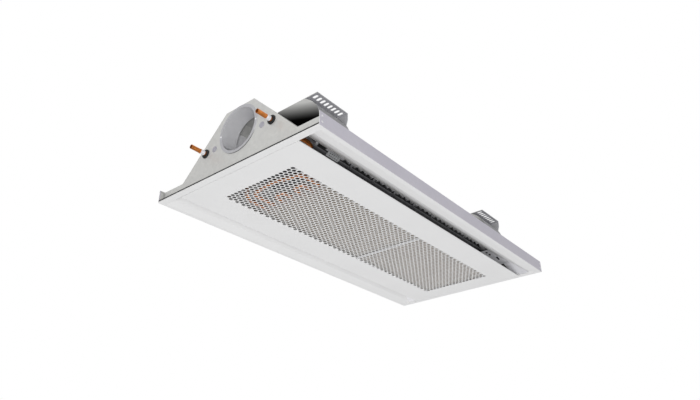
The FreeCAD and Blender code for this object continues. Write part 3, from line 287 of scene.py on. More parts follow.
def moulded(name, colour, roughness=0.5, grit=0.8):
    """Injection-moulded plastic or rubber: even colour with a fine spark-eroded grain."""
    material, tree, shader, place = new_material(name, Roughness=roughness, IOR=1.46)
    cloud = add_node(tree, "ShaderNodeTexNoise", values={"Scale": per_metre(12), "Detail": 2.0},
                     links={"Vector": place})
    tint = colour_between(tree, cloud.outputs["Fac"], shade(colour, 0.9), shade(colour, 1.1))
    tree.links.new(tint, shader.inputs["Base Color"])
    grain = add_node(tree, "ShaderNodeTexNoise", values={"Scale": per_metre(grit), "Detail": 1.0},
                     links={"Vector": place})
    bump = add_node(tree, "ShaderNodeBump", values={"Strength": 0.15, "Distance": 0.0001},
                    links={"Height": grain.outputs["Fac"]})
    tree.links.new(bump.outputs["Normal"], shader.inputs["Normal"])
    return material


def rolled_steel(name, colour, roughness=0.35):
    """Cold-rolled spring steel and plain pins: grey metal with fine rolling lines."""
    material, tree, shader, place = new_material(name, Metallic=0.9, Roughness=roughness)
    stretch = add_node(tree, "ShaderNodeMapping", values={"Scale": (0.05, 1.0, 1.0)}, links={"Vector": place})
    lines = add_node(tree, "ShaderNodeTexNoise", values={"Scale": per_metre(1.2), "Detail": 2.0},
                     links={"Vector": stretch.outputs["Vector"]})
    tint = colour_between(tree, lines.outputs["Fac"], shade(colour, 0.85), shade(colour, 1.1))
    tree.links.new(tint, shader.inputs["Base Color"])
    return material


MATERIALS = {}


def make_materials(colours):
    """Every finish of the beam, by the name that the pieces use."""
    MATERIALS.update({
        # baked polyester powder on what faces the room
        "enamel": powder_coat("white_powder_coat", tuple(colours.enamel)),
        # zinc with a bluish passivation, on the upright skirts
        "skirt": galvanised("passivated_zinc_skirt", srgb("#CECBD5"), metallic=0.1, spangle=0.03),
        # hot-dip galvanised sheet of the casing, with painted shade in its corners
        "zinc": galvanised("galvanised_sheet_painted_corner_shade", tuple(colours.zinc), corners=(16, 0.75)),
        # the same sheet on the hangers: its top; its sloped legs in a darker copy as painted shade; its
        # flange in a lighter copy as painted light
        "hanger": galvanised("galvanised_hanger", srgb("#BEBEC0"), metallic=0.4, spangle=0.05),
        "hanger_leg": galvanised("galvanised_hanger_leg", srgb("#949496"), metallic=0.4, spangle=0.05),
        "hanger_flange_painted_light": galvanised("galvanised_hanger_flange_painted_light", srgb("#CACACE"), metallic=0.3,
                                    spangle=0.05),
        # the hangers' end walls, with painted shade that darkens them to black where they meet the hood
        "hanger_wall": wall_with_painted_shade("galvanised_hanger_wall_painted_shade", srgb("#C8C8C6")),
        # the collar: the ring on the end plate, and the bore, painted lighter than the ring as painted light,
        # with painted shade at its bottom
        "ring": galvanised("galvanised_ring", srgb("#B6B6B9"), metallic=0.3, spangle=0.03),
        "bore": galvanised("galvanised_bore_painted_light_and_shade", srgb("#E8E8EA"), metallic=0.3, spangle=0.03,
                           fade=(45, 100)),
        # galvanised sheet inside, painted lighter than the casing's as painted light: the baffle of the near
        # slot and, whiter still, the air ducts; the ducts' undersides painted dark as painted shade
        "baffle": galvanised("galvanised_baffle_painted_light", srgb("#D8D8DB"), metallic=0.3, spangle=0.03),
        "duct": galvanised("galvanised_duct_painted_light", srgb("#F6F6F8"), metallic=0.15, spangle=0.03),
        "under": galvanised("galvanised_underside_painted_shade", srgb("#3C3D42"), metallic=0.3, spangle=0.05),
        # the nozzle rails: near white at their corner as painted light, and darkened to black along their
        # lower edge as painted shade
        "rail": galvanised("galvanised_rail_painted_light_and_shade", srgb("#F0F0F3"), metallic=0.15, fade=(50, 67)),
        # bare drawn copper tube of the water side
        "copper": drawn_copper("drawn_copper", tuple(colours.copper)),
        # rolled aluminium strip of the coil
        "fins": fin_stock("rolled_aluminium_fins"),
        # black polyamide of the shutters, dots and clips
        "black": moulded("moulded_black_nylon", srgb("#141416")),
        # grey ABS of the setting plates
        "grey": moulded("moulded_grey_abs", srgb("#B6B8BA")),
        # grey polyethylene of the caps in the spare holes
        "plug": moulded("moulded_grey_cap", srgb("#A8A7B0")),
        # EPDM rubber of the grommets; the same black makes the strip on the inlet lip, which is painted shade
        "rubber": moulded("moulded_epdm_rubber", srgb("#0D0D0E"), roughness=0.75),
        # white sleeve that marks a pipe
        "band": moulded("white_marking_sleeve", srgb("#ECECF0"), roughness=0.4),
        # spring steel of the catches, pins and studs
        "steel": rolled_steel("rolled_spring_steel", srgb("#B4B6B8")),
        # drawn aluminium of the blind rivets
        "rivet": rolled_steel("drawn_aluminium_rivet", srgb("#E0E0E2"), roughness=0.3),
    })


# Mesh helpers, all in mm


def add_piece(name, mesh, material, body, stands_for=()):
    """Links a finished mesh as a piece of a body."""
    piece = bpy.data.objects.new(name, mesh)
    bpy.context.scene.collection.objects.link(piece)
    mesh.materials.append(MATERIALS[material])
    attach(piece, body)
    if stands_for:
        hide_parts(*stands_for)
    return piece


def finish_mesh(bm, name, smooth=True, merge=0.0):
    """Turns a bmesh in mm into a mesh in metres."""
    if merge:
        bmesh.ops.remove_doubles(bm, verts=bm.verts, dist=merge)
    bmesh.ops.recalc_face_normals(bm, faces=bm.faces)
    bm.transform(Matrix.Scale(MM, 4))
    mesh = bpy.data.meshes.new(name)
    bm.to_mesh(mesh)
    bm.free()
    if smooth:
        mesh.shade_smooth()
        mesh.set_sharp_from_angle(angle=math.radians(32))
    return mesh


def add_lathe(bm, profile, place, turns=24):
    """Adds a turned body: profile of (radius, height) closed on itself, placed by a matrix."""
    rings = []
    for k in range(turns):
        angle = 2 * math.pi * k / turns
        rings.append([bm.verts.new(place @ Vector((r * math.cos(angle), r * math.sin(angle), h)))
                      for r, h in profile])
    count = len(profile)
    for k in range(turns):
        first, second = rings[k], rings[(k + 1) % turns]
        for i in range(count):
            j = (i + 1) % count
            if profile[i][0] < 1e-6 and profile[j][0] < 1e-6:
                continue
            bm.faces.new((first[i], first[j], second[j], second[i]))


def add_prism(bm, outline, place, height):
    """Adds a straight prism over an outline of (u, v), placed by a matrix."""
    low = [bm.verts.new(place @ Vector((u, v, 0))) for u, v in outline]
    high = [bm.verts.new(place @ Vector((u, v, height))) for u, v in outline]
    bm.faces.new(list(reversed(low)))
    bm.faces.new(high)
    count = len(outline)
    for i in range(count):
        j = (i + 1) % count
        bm.faces.new((low[i], low[j], high[j], high[i]))


def facing(origin, direction, up=(0, 0, 1)):
    """Matrix that stands a local +Z along a direction at an origin."""
    forward = Vector(direction).normalized()
    side = Vector(up).cross(forward)
    if side.length < 1e-6:
        side = Vector((1, 0, 0))
    side.normalize()
    turn = Matrix((side, forward.cross(side), forward)).transposed()
    return Matrix.Translation(Vector(origin)) @ turn.to_4x4()


def on_rail(side):
    """Matrix from rail coordinates (along, in from the corner, out of the web) to the beam's."""
    root = math.sqrt(0.5)
    return Matrix(((1, 0, 0, 0), (0, -side * root, side * root, side * RAIL_OUT),
                   (0, -root, -root, RAIL_UP), (0, 0, 0, 1)))


def across(start):
    """Matrix that stands an outline of (along, height) across the beam from a distance to the middle."""
    return Matrix(((1, 0, 0, 0), (0, 0, 1, start), (0, 1, 0, 0), (0, 0, 0, 1)))


def bevelled(piece, width, segments=2):
    """Rounds the hard edges of a piece by a real radius."""
    rounding = piece.modifiers.new("edge_radius", "BEVEL")
    rounding.width, rounding.segments = width * MM, segments
    rounding.limit_method, rounding.angle_limit = "ANGLE", math.radians(40)
    rounding.harden_normals = False
    return piece


# Pieces


class BEAM_OT_casing(bpy.types.Operator):
    """Gives the sheet-metal parts of the frame their finishes"""
    bl_idname = "beam.casing"
    bl_label = "Casing finishes"

    # least share of a face's normal for the face to count as upright, level or sloped
    UPRIGHT, LEVEL, SLOPED = 0.9, 0.7, 0.3
    # in metres: the skirt stands beyond this distance from the middle, and a hanger's end wall is this thick
    SKIRT_FROM, WALL_DEPTH = 0.2945, 0.004

    def execute(self, context):
        make_materials(context.scene.beam_colours)
        finishes = {
            "enamel": ["end_strip_inlet", "end_strip_outer", "face_panel"],
            "zinc": ["end_plate_inlet", "end_plate_outer", "hood", "plenum_tray", "coil_plate_inlet",
                     "coil_plate_outer", "coil_side_sheets", "coil_straps"],
            "bore": ["inlet_spigot"],
            "baffle": ["end_baffle_near"],
            "duct": ["inlet_box", "plenum_wall", "end_baffle_far"],
            "rail": ["nozzle_rail_near", "nozzle_rail_far", "slide_staples_near", "slide_staples_far"],
            "hanger": ["panel_rib", "hanger_inlet_near", "hanger_inlet_far", "hanger_outer_near",
                       "hanger_outer_far"],
            "copper": ["coil_tubes", "return_bends_inlet", "return_bends_outer", "cross_pipe_inlet",
                       "cross_pipe_outer", "supply_pipe", "return_pipe"],
            "steel": ["catch_springs", "hinge_pins", "panel_studs"],
            "band": ["pipe_bands"],
        }
        for finish, nodes in finishes.items():
            for name in nodes:
                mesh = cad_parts[name].data
                mesh.materials.clear()
                mesh.materials.append(MATERIALS[finish])
        # the ring's faces keep their own tone; the bore takes a lighter one as painted light
        self.second_finish("inlet_spigot", "ring", lambda face: abs(face.normal.x) > self.UPRIGHT)
        # the inlet box's undersides are painted dark as painted shade
        self.second_finish("inlet_box", "under", lambda face: face.normal.z < -self.LEVEL)
        for word in SIDES:
            self.two_finishes(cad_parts["side_frame_" + word].data)
            for end in ("inlet", "outer"):
                self.hanger_walls(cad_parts["hanger_%s_%s" % (end, word)].data)
        return {"FINISHED"}

    def second_finish(self, name, finish, has_it):
        """Gives some faces of a node a finish of their own."""
        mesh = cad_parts[name].data
        mesh.materials.append(MATERIALS[finish])
        for face in mesh.polygons:
            face.material_index = 1 if has_it(face) else 0

    def hanger_walls(self, mesh):
        """The upright wall toward the inlet end takes painted shade, the legs a darker copy as painted shade,
        and the flange a lighter copy as painted light.
        """
        for finish in ("hanger_wall", "hanger_leg", "hanger_flange_painted_light"):
            mesh.materials.append(MATERIALS[finish])
        inlet_end = min(vertex.co.x for vertex in mesh.vertices)
        for face in mesh.polygons:
            # painted shade: the end wall toward the inlet end
            if abs(face.normal.x) > self.UPRIGHT and face.center.x < inlet_end + self.WALL_DEPTH:
                face.material_index = 1
            # painted shade: a darker copy on the sloped legs
            elif self.SLOPED < abs(face.normal.z) < self.UPRIGHT:
                face.material_index = 2
            # painted light: a lighter copy on the flange's underside
            elif face.normal.z < -self.UPRIGHT:
                face.material_index = 3

    def two_finishes(self, mesh):
        """The skirt stays zinc outside and inside; the part that shows in the room is coated."""
        mesh.materials.clear()
        for finish in ("enamel", "skirt"):
            mesh.materials.append(MATERIALS[finish])
        for face in mesh.polygons:
            skirt = abs(face.normal.y) > self.UPRIGHT and abs(face.center.y) > self.SKIRT_FROM
            face.material_index = 1 if skirt else 0


class BEAM_OT_perforation(bpy.types.Operator):
    """Punches the staggered round holes of the face panel"""
    bl_idname = "beam.perforation"
    bl_label = "Perforated sheet"

    # least metal in mm between two holes, and between a hole and the sheet's end
    WEB, MARGIN = 0.5, 0.8
    # corners of a hole
    STEPS = 16

    def execute(self, context):
        sizes = context.scene.beam_perforation
        low, high = (Vector(corner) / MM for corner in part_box("perforated_sheet"))
        length, width, top = high.x - low.x, high.y - low.y, high.z
        rows = round(width / (sizes.pitch_across / MM) - 0.5)
        pitch_y = width / (rows + 0.5)
        nearest = min(pitch_y, math.hypot(sizes.pitch_along / MM, pitch_y / 2))
        radius = min(sizes.hole / MM, nearest - self.WEB) / 2
        edge = radius + self.MARGIN
        columns = round((length - 2 * edge) / (sizes.pitch_along / MM)) + 1
        pitch_x = (length - 2 * edge) / (columns - 1)
        # half widths of a hexagonal cell at its flat side, at its tip and at a straight border
        slant = pitch_y ** 2 / (8 * pitch_x)
        flat, tip, half = pitch_x / 2 - slant, pitch_x / 2 + slant, pitch_y / 2
        bm = bmesh.new()
        for i in range(columns):
            x = low.x + edge + i * pitch_x
            sides = [(edge, edge) if i + way in (-1, columns) else (flat, tip) for way in (-1, 1)]
            (left, far_left), (right, far_right) = sides
            rim = [(right, -half)] + ([(tip, 0)] if right == flat else []) + [(right, half)]
            rim += [(-left, half)] + ([(-tip, 0)] if left == flat else []) + [(-left, -half)]
            start = low.y + (half if i % 2 else 0)
            for j in range(rows):
                self.cell(bm, x, start + (j + 0.5) * pitch_y, rim, radius, top)
            if i % 2:
                rest = [(x - far_left, low.y), (x + far_right, low.y),
                        (x + right, low.y + half), (x - left, low.y + half)]
            else:
                rest = [(x - left, high.y - half), (x + right, high.y - half),
                        (x + far_right, high.y), (x - far_left, high.y)]
            add_prism(bm, rest, Matrix.Identity(4), top)
        mesh = finish_mesh(bm, "perforated_sheet_holes", merge=0.002)
        add_piece("perforated_field", mesh, "enamel", PANEL, ["perforated_sheet"])
        return {"FINISHED"}

    def cell(self, bm, x, y, rim, radius, top):
        """One hole with the metal around it, through the sheet."""
        steps = self.STEPS
        near = [round(math.atan2(v, u) / (2 * math.pi) * steps) % steps for u, v in rim]
        for z in (0.0, top):
            corners = [bm.verts.new((x + u, y + v, z)) for u, v in rim]
            hole = [bm.verts.new((x + radius * math.cos(2 * math.pi * k / steps),
                                  y + radius * math.sin(2 * math.pi * k / steps), z)) for k in range(steps)]
            for k in range(len(rim)):
                n = (k + 1) % len(rim)
                last = near[n] if near[n] > near[k] else near[n] + steps
                inner = [hole[m % steps] for m in range(near[k], last + 1)]
                ring = [corners[k], corners[n]] + list(reversed(inner))
                bm.faces.new(ring if z else list(reversed(ring)))
            if z:
                for k in range(steps):
                    n = (k + 1) % steps
                    bm.faces.new((lower[k], hole[k], hole[n], lower[n]))
            lower = hole


class BEAM_OT_coil(bpy.types.Operator):
    """Stacks the fins of the coil on their tubes"""
    bl_idname = "beam.coil"
    bl_label = "Coil fins"

    def execute(self, context):
        sizes = context.scene.beam_coil
        low, high = (Vector(corner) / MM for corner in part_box("coil_fins"))
        bm = bmesh.new()
        tubes = [(k - (TUBES - 1) / 2) * TUBE_PITCH for k in range(TUBES)]
        middle = (low.z + high.z) / 2
        self.fin(bm, low.x, low.y, high.y, low.z, high.z, tubes, middle, sizes.fin_sheet / MM)
        mesh = finish_mesh(bm, "coil_fin_mesh", smooth=False, merge=0.001)
        piece = add_piece("coil_fin_pack", mesh, "fins", CASING, ["coil_fins"])
        stack = piece.modifiers.new("stack", "ARRAY")
        stack.count = int((high.x - low.x) * MM / sizes.fin_pitch) + 1
        stack.use_relative_offset, stack.use_constant_offset = False, True
        stack.constant_offset_displace = (sizes.fin_pitch, 0, 0)
        return {"FINISHED"}

    def fin(self, bm, x, y_low, y_high, z_low, z_high, tubes, middle, sheet):
        """One fin: a strip with a hole for each tube, made of a cell for each tube."""
        edges = [y_low] + [(a + b) / 2 for a, b in zip(tubes, tubes[1:])] + [y_high]
        # a hole has twelve corners, and each side of its cell takes the three steps that face it
        steps, radius, starts = 12, TUBE_HOLE, (1, 4, 7, 10)
        for tube, left, right in zip(tubes, edges, edges[1:]):
            for face_x in (x, x + sheet):
                corners = [bm.verts.new((face_x, y, z)) for y, z in
                           ((right, z_high), (left, z_high), (left, z_low), (right, z_low))]
                hole = [bm.verts.new((face_x, tube + radius * math.cos(2 * math.pi * k / steps),
                                      middle + radius * math.sin(2 * math.pi * k / steps)))
                        for k in range(steps)]
                for k, start in enumerate(starts):
                    inner = [hole[m % steps] for m in range(start, start + 4)]
                    bm.faces.new([corners[k], corners[(k + 1) % 4]] + list(reversed(inner)))


class BEAM_OT_nozzles(bpy.types.Operator):
    """Makes the sliding shutters, the setting plates and the fixed nozzles of the rails"""
    bl_idname = "beam.nozzles"
    bl_label = "Nozzle rails"

    # along the rail, in mm: the shutter's inlet end, and both ends of the setting plate
    SHUTTER_START, PLATE_ENDS = -464.0, (-424.0, -378.0)
    # in from the rail's corner: the thumb tab, the roots of the tongues, the bead and the back edge
    TAB, ROOT, BEAD, BACK = (5.3, 7.4), 11.6, (12.2, 13.6), 14.0
    # the thumb tab's length, and the distance from the shutter's end at which the tongues start
    TAB_LENGTH, TONGUES_FROM = 28, 50
    # half a tongue: out from its middle, and in from the rail's corner
    TONGUE = [(10.5, ROOT), (5, 7.2), (2.6, 5.4)]
    # in from the rail's corner: the line of nozzles, and both edges of the setting plate
    NOZZLE_LINE, PLATE_EDGES = 19.2, (7.3, 22.3)
    # out of the rail's web: the shutter's clearance and sheet, the setting plate's underside and thickness
    GAP, SHEET, PLATE_LIFT, PLATE_SHEET = 0.25, 1.2, 1.75, 3.0

    def execute(self, context):
        sizes = context.scene.beam_nozzles
        for word, side in SIDES.items():
            self.shutter(word, side, sizes)
            self.collars(word, side, sizes)
            self.setting_plate(word, side)
        return {"FINISHED"}

    def shutter(self, word, side, sizes):
        """Strip with a rounded tongue for each nozzle, a stiffening bead and a thumb tab."""
        pitch, first = sizes.pitch / MM, sizes.first / MM
        low, high = self.SHUTTER_START, first + pitch * (sizes.count - 0.5)
        tab_edge, tab_back = self.TAB
        tab_end = low + self.TAB_LENGTH
        edge = [(low, self.BACK), (low, tab_edge), (tab_end, tab_edge), (tab_end + 2, self.ROOT - 1)]
        for k in range(-1, sizes.count - 1):
            middle = first + pitch * (k + 0.5)
            if middle > low + self.TONGUES_FROM:
                edge += [(middle - out, depth) for out, depth in self.TONGUE]
                edge += [(middle + out, depth) for out, depth in reversed(self.TONGUE)]
        edge += [(high, self.ROOT), (high, self.BACK)]
        bm = bmesh.new()
        place = on_rail(side)
        add_prism(bm, edge, place @ Matrix.Translation((0, 0, self.GAP)), self.SHEET)
        outside = self.GAP + self.SHEET
        front, back = self.BEAD
        bead = [(low + 2, front), (high - 2, front), (high - 2, back), (low + 2, back)]
        add_prism(bm, bead, place @ Matrix.Translation((0, 0, outside)), 0.25)
        tab = [(low, tab_edge), (tab_end, tab_edge), (tab_end, tab_back), (low, tab_back)]
        add_prism(bm, tab, place @ Matrix.Translation((0, 0, outside)), 5.6)
        # grip ribs on the back of the tab
        for rib in range(4):
            start = low + 4 + rib * 6
            add_prism(bm, [(start, tab_back), (start + 2, tab_back), (start + 2, 8.2), (start, 8.2)],
                      place @ Matrix.Translation((0, 0, outside + 0.15)), 5.2)
        mesh = finish_mesh(bm, "nozzle_shutter_%s_mesh" % word)
        piece = add_piece("nozzle_shutter_" + word, mesh, "black", "slide_" + word,
                          ["nozzle_slide_" + word])
        bevelled(piece, 0.25, 1)

    def collars(self, word, side, sizes):
        """Fixed nozzles: short drawn collars in a row below the shutter."""
        bm = bmesh.new()
        place = on_rail(side)
        profile = [(2.9, -0.6), (2.9, 0.7), (3.2, 0.9), (3.5, 0.7), (3.7, 0.2), (4.4, 0.0), (4.4, -0.6)]
        for k in range(sizes.count):
            x = sizes.first / MM + k * sizes.pitch / MM
            add_lathe(bm, profile, place @ Matrix.Translation((x, self.NOZZLE_LINE, 0.0)), 16)
        mesh = finish_mesh(bm, "nozzle_collars_%s_mesh" % word)
        add_piece("nozzle_collars_" + word, mesh, "rail", CASING)

    def setting_plate(self, word, side):
        """Moulded plate over the shutter with two rows of dimples and a rounded end."""
        (low, high), (near, far) = self.PLATE_ENDS, self.PLATE_EDGES
        bm = bmesh.new()
        place = on_rail(side)
        # the outer end is half an ellipse
        steps, reach, radius = 8, 6, (far - near) / 2
        straight = high - reach
        outline = [(low, far), (low, near)] + [
            (straight + reach * math.sin(math.pi * k / steps),
             near + radius - radius * math.cos(math.pi * k / steps)) for k in range(steps + 1)]
        add_prism(bm, outline, place @ Matrix.Translation((0, 0, self.PLATE_LIFT)), self.PLATE_SHEET)
        foot = [(low, 14.6), (straight, 14.6), (straight, far), (low, far)]
        add_prism(bm, foot, place, self.PLATE_LIFT)
        mesh = finish_mesh(bm, "setting_plate_%s_mesh" % word)
        piece = add_piece("setting_plate_" + word, mesh, "grey", CASING,
                          ["slide_scale_" + word])
        bevelled(piece, 0.4, 2)
        bm = bmesh.new()
        for i in range(5):
            for j in range(2):
                # each dot is sunk 0.15 mm into the plate
                face = self.PLATE_LIFT + self.PLATE_SHEET - 0.15
                centre = Matrix.Translation((low + 7 + i * 7.6, 11.5 + j * 6.2, face))
                add_lathe(bm, [(0, 0), (1.5, 0), (1.5, 0.35), (1.2, 0.5), (0, 0.5)], place @ centre, 12)
        mesh = finish_mesh(bm, "setting_dots_%s_mesh" % word, merge=0.001)
        add_piece("setting_dots_" + word, mesh, "black", CASING)


class BEAM_OT_fasteners(bpy.types.Operator):
    """Sets the blind rivets of frame, collar and hangers"""
    bl_idname = "beam.fasteners"
    bl_label = "Rivets"

    # places of the heads' seats in mm: out from the middle along the beam and across it, and height
    FRAME_ALONG, FRAME_OUT, FRAME_HEIGHTS = 587.0, 296.5, (28.1, 12.2)
    RING_FACE, RING_OUT, RING_HEIGHT = -583.5, 66.9, 125.5
    HANGER_ALONG, HANGER_OUT, HANGER_HEIGHT = (-491.0, 389.0), 164.0, 195.0

    def execute(self, context):
        frame_spots, collar_spots, hanger_spots = [], [], []
        for side in SIDES.values():
            for end in (-1, 1):
                for z in self.FRAME_HEIGHTS:
                    frame_spots.append(((end * self.FRAME_ALONG, side * self.FRAME_OUT, z), (0, side, 0)))
            collar_spots.append(((self.RING_FACE, side * self.RING_OUT, self.RING_HEIGHT), (-1, 0, 0)))
            for x in self.HANGER_ALONG:
                hanger_spots.append(((x, side * self.HANGER_OUT, self.HANGER_HEIGHT), (0, 0, -1)))
        self.rivets("skirt_rivets", frame_spots, ["frame_rivets"])
        self.rivets("collar_rivets", collar_spots, ["spigot_rivets"])
        self.rivets("hanger_rivets", hanger_spots, [])
        return {"FINISHED"}

    def rivets(self, name, spots, stands_for):
        """Domed heads with the broken mandrel in the middle."""
        profile = [(0, 0), (2.9, 0), (2.9, 0.3), (2.6, 0.7), (2.0, 0.98), (1.3, 1.12),
                   (0.95, 1.12), (0.9, 0.7), (0, 0.7)]
        bm = bmesh.new()
        for origin, direction in spots:
            add_lathe(bm, profile, facing(origin, direction), 20)
        mesh = finish_mesh(bm, name + "_mesh", merge=0.0005)
        add_piece(name, mesh, "rivet", CASING, stands_for)


class BEAM_OT_inlet_fittings(bpy.types.Operator):
    """Makes the black strip on the end strip's lip, which stands for painted shade, and the grommets and caps
    of the end plate at the inlet end
    """
    bl_idname = "beam.inlet_fittings"
    bl_label = "Inlet fittings"

    # the end plate's place in mm, and the pipes and spare holes in it: out from the middle and height
    PLATE_X, PIPE, SPARE = -582.0, (125.0, 97.0), (90.0, 98.0)
    # half sections as radius and depth, from the room's side of the plate inward
    GROMMET = [(6.4, -3.6), (6.9, -4.2), (8.5, -4.4), (11.6, -3.9), (12.8, -2.6), (13.0, -0.9), (12.6, 0),
               (10.0, 0), (10.0, 1.5), (11.6, 1.5), (11.9, 2.6), (11.0, 4.2), (7.2, 4.5), (6.4, 4.0)]
    CAP = [(0, -1.4), (5.6, -1.4), (6.4, -1.9), (7.4, -1.9), (8.4, -1.2), (8.5, 0), (7.0, 0),
           (7.0, 1.5), (7.3, 2.0), (6.9, 3.9), (5.8, 3.9), (5.8, -0.4), (0, -0.4)]
    # the black strip, which is painted shade: its thickness outside the lip, and its reach below and above
    # the lip's top, in mm
    SEAL, SEAL_DOWN, SEAL_UP = 0.6, 0.6, 2.6

    def execute(self, context):
        self.lay_shadow_strip()
        mesh = finish_mesh(self.pair(self.GROMMET, self.PIPE, 32), "grommet_mesh")
        add_piece("pipe_grommet_pair", mesh, "rubber", CASING, ["pipe_grommets"])
        mesh = finish_mesh(self.pair(self.CAP, self.SPARE, 28), "cap_mesh", merge=0.0005)
        add_piece("blanking_caps", mesh, "plug", CASING, ["blanking_plugs"])
        return {"FINISHED"}

    def lay_shadow_strip(self):
        """Angled black strip on the outer lip of the end strip: painted shade in the gap below the end plate.
        """
        low, high = (Vector(corner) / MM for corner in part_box("end_strip_inlet"))
        outer, inner, top = low.x - self.SEAL, low.x + LIP_SHEET, LIP_TOP + self.SEAL_UP
        angle = [(outer, LIP_TOP - self.SEAL_DOWN), (low.x, LIP_TOP - self.SEAL_DOWN), (low.x, LIP_TOP),
                 (inner, LIP_TOP), (inner, top), (outer, top)]
        bm = bmesh.new()
        add_prism(bm, angle, across(low.y + 1), high.y - low.y - 2)
        add_piece("lip_shadow_strip", finish_mesh(bm, "lip_shadow_strip_mesh"), "rubber", CASING)

    def pair(self, profile, spot, turns):
        """A turned part in each half of the end plate."""
        bm = bmesh.new()
        out, height = spot
        for side in SIDES.values():
            add_lathe(bm, profile, facing((self.PLATE_X, side * out, height), (1, 0, 0)), turns)
        return bm


class BEAM_OT_baffle_clips(bpy.types.Operator):
    """Adds the push rivets, the latch and the inner edge of the sloped end sheets"""
    bl_idname = "beam.baffle_clips"
    bl_label = "Baffle clips"

    # the sheet's lower face falls from its high end to its low end, in mm
    HIGH, LOW = (392.0, 46.0), (577.0, 4.0)
    # along the beam and out from the middle: the push rivets and the latch
    PUSH_RIVETS, LATCH = ((405.0, 185.5), (420.0, 189.0)), (452.0, 203.0)
    # the inner edge: both ends along the beam, its start across the beam, its width and its sheet
    EDGE_ENDS, EDGE_START, EDGE_WIDTH, EDGE_SHEET = (484.0, 571.0), -222.5, 19.0, 0.8

    def height(self, x):
        """Height of the sheet's lower face at a place along the beam."""
        (high_x, high_z), (low_x, low_z) = self.HIGH, self.LOW
        return high_z + (low_z - high_z) * (x - high_x) / (low_x - high_x)

    def under(self, side, spot, down):
        """Matrix that hangs a part from the sheet's lower face."""
        x, out = spot
        return facing((x, side * out, self.height(x)), down)

    def execute(self, context):
        down = Vector((self.LOW[1] - self.HIGH[1], 0, self.HIGH[0] - self.LOW[0])).normalized()
        for word, side in SIDES.items():
            bm = bmesh.new()
            for spot in self.PUSH_RIVETS:
                add_lathe(bm, [(0, 0), (3.8, 0), (3.8, 0.8), (2.8, 2.2), (0, 2.6)],
                          self.under(side, spot, down), 16)
            add_prism(bm, [(-2.8, -9), (2.8, -9), (2.8, 9), (-2.8, 9)],
                      self.under(side, self.LATCH, down), 1.5)
            mesh = finish_mesh(bm, "baffle_clips_%s_mesh" % word, merge=0.0005)
            add_piece("baffle_clips_" + word, mesh, "black", CASING)
        self.inner_edge()
        return {"FINISHED"}

    def inner_edge(self):
        """On the side that swings down, the sheet reaches in over the panel's edge.

        The hinged side has no room for it, as the panel's edge rises there when it opens.
        """
        bm = bmesh.new()
        outline = [(x, self.height(x)) for x in self.EDGE_ENDS]
        outline += [(x, z + self.EDGE_SHEET) for x, z in reversed(outline)]
        add_prism(bm, outline, across(self.EDGE_START), self.EDGE_WIDTH)
        add_piece("baffle_edge_near", finish_mesh(bm, "baffle_edge_mesh", smooth=False), "baffle", CASING)


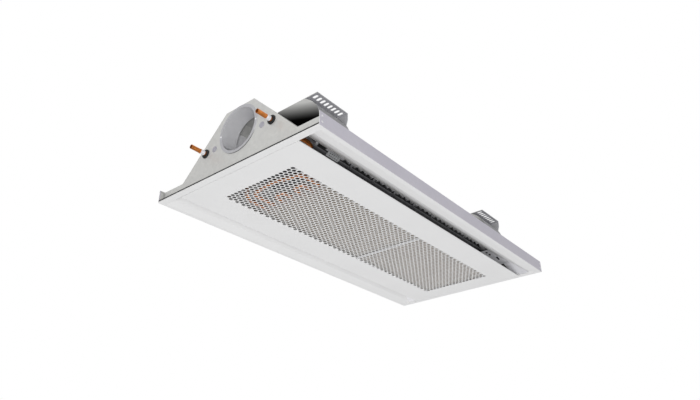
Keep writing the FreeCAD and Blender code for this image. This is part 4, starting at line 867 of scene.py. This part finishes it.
class BEAM_OT_studio(bpy.types.Operator):
    """Sets the camera, the soft light and the pale floor"""
    bl_idname = "beam.studio"
    bl_label = "Stage"

    def execute(self, context):
        scene = context.scene
        scene.view_settings.view_transform = "Standard"
        self.camera(scene)
        self.world(scene)
        self.lamps(scene)
        self.floor()
        return {"FINISHED"}

    def camera(self, scene):
        """The photograph's place: below and beside the inlet end, looking up along the beam."""
        data = bpy.data.cameras.new("ceiling_view")
        data.sensor_fit, data.sensor_width, data.lens = "HORIZONTAL", 36.0, 31.9055
        data.clip_start, data.clip_end = 0.05, 50.0
        camera = bpy.data.objects.new("ceiling_view", data)
        turn = Euler([math.radians(a) for a in (117.6615, 0.5539, -51.0408)], "XYZ")
        place = Matrix.Translation(Vector((-1449.62, -1063.93, -791.55)) * MM)
        camera.matrix_world = place @ turn.to_matrix().to_4x4()
        scene.collection.objects.link(camera)
        scene.camera = camera

    def world(self, scene):
        """White surroundings for the eye and for gloss, and a level fill for everything else."""
        world = bpy.data.worlds.new("white_room")
        scene.world = world
        world.use_nodes = True
        tree = world.node_tree
        tree.nodes.clear()
        ray = add_node(tree, "ShaderNodeLightPath")
        seen = ray.outputs["Is Camera Ray"]
        for other in ("Is Glossy Ray", "Is Transmission Ray"):
            larger = add_node(tree, "ShaderNodeMath", operation="MAXIMUM")
            tree.links.new(seen, larger.inputs[0])
            tree.links.new(ray.outputs[other], larger.inputs[1])
            seen = larger.outputs["Value"]
        fill = add_node(tree, "ShaderNodeBackground", values={"Color": (1, 1, 1, 1), "Strength": 0.42})
        white = add_node(tree, "ShaderNodeBackground", values={"Color": (1, 1, 1, 1), "Strength": 1.0})
        mixed = add_node(tree, "ShaderNodeMixShader", links={"Fac": seen})
        tree.links.new(fill.outputs["Background"], mixed.inputs[1])
        tree.links.new(white.outputs["Background"], mixed.inputs[2])
        add_node(tree, "ShaderNodeOutputWorld", links={"Surface": mixed.outputs["Shader"]})

    def lamps(self, scene):
        """Wide lamps below the beam and at its inlet end; the spread keeps the viewer's off the floor."""
        for name, place, aim, width, depth, spread, power in (
                ("floor_lamp", (0.1, 0.5, -1.3), (-0.1, 0.2, 0), 4.0, 2.0, 180, 14.3),
                ("viewer_lamp", (-2.7, -2.15, -1.68), (0.05, 0, 0), 1.2, 1.2, 120, 25.6),
                ("inlet_lamp", (-2.4, -0.3, 0.4), (-0.5, 0, 0.1), 1.8, 1.8, 180, 7.0)):
            data = bpy.data.lights.new(name, "AREA")
            data.shape, data.size, data.size_y, data.energy = "RECTANGLE", width, depth, power
            data.spread = math.radians(spread)
            lamp = bpy.data.objects.new(name, data)
            turn = (Vector(aim) - Vector(place)).to_track_quat("-Z", "Y")
            lamp.matrix_world = Matrix.Translation(Vector(place)) @ turn.to_matrix().to_4x4()
            scene.collection.objects.link(lamp)

    def floor(self):
        """Pale floor of the room, out of the camera's view."""
        bm = bmesh.new()
        half, height = 6000, -2400
        bm.faces.new([bm.verts.new((x, y, height)) for x, y in
                      ((-half, -half), (half, -half), (half, half), (-half, half))])
        mesh = finish_mesh(bm, "floor_mesh", smooth=False)
        material, tree, shader, place = new_material("pale_floor", Roughness=0.9)
        cloud = add_node(tree, "ShaderNodeTexNoise", values={"Scale": per_metre(400)},
                         links={"Vector": place})
        tint = colour_between(tree, cloud.outputs["Fac"], srgb("#E9E9EA"), srgb("#EEEEEF"))
        tree.links.new(tint, shader.inputs["Base Color"])
        mesh.materials.append(material)
        floor = bpy.data.objects.new("floor", mesh)
        bpy.context.scene.collection.objects.link(floor)


OPERATORS = (BEAM_OT_casing, BEAM_OT_perforation, BEAM_OT_coil, BEAM_OT_nozzles, BEAM_OT_fasteners,
             BEAM_OT_inlet_fittings, BEAM_OT_baffle_clips, BEAM_OT_studio)


class BEAM_PT_panel(bpy.types.Panel):
    """Shows the beam's settings and the buttons of its steps in the sidebar"""
    bl_idname = "BEAM_PT_panel"
    bl_label = "Chilled Beam"
    bl_space_type = "VIEW_3D"
    bl_region_type = "UI"
    bl_category = "Chilled Beam"

    def draw(self, context):
        for group in SETTINGS:
            settings = getattr(context.scene, group)
            for name in settings.__annotations__:
                self.layout.prop(settings, name)
        for operator in OPERATORS:
            self.layout.operator(operator.bl_idname)


def register():
    for cls in (*SETTINGS.values(), *OPERATORS, BEAM_PT_panel):
        bpy.utils.register_class(cls)
    for name, cls in SETTINGS.items():
        setattr(bpy.types.Scene, name, PointerProperty(type=cls))


def unregister():
    for name in SETTINGS:
        delattr(bpy.types.Scene, name)
    for cls in reversed((*SETTINGS.values(), *OPERATORS, BEAM_PT_panel)):
        bpy.utils.unregister_class(cls)


def main():
    register()
    bpy.ops.beam.casing()
    bpy.ops.beam.perforation()
    bpy.ops.beam.coil()
    bpy.ops.beam.nozzles()
    bpy.ops.beam.fasteners()
    bpy.ops.beam.inlet_fittings()
    bpy.ops.beam.baffle_clips()
    bpy.ops.beam.studio()


if __name__ == "__main__":
    main()
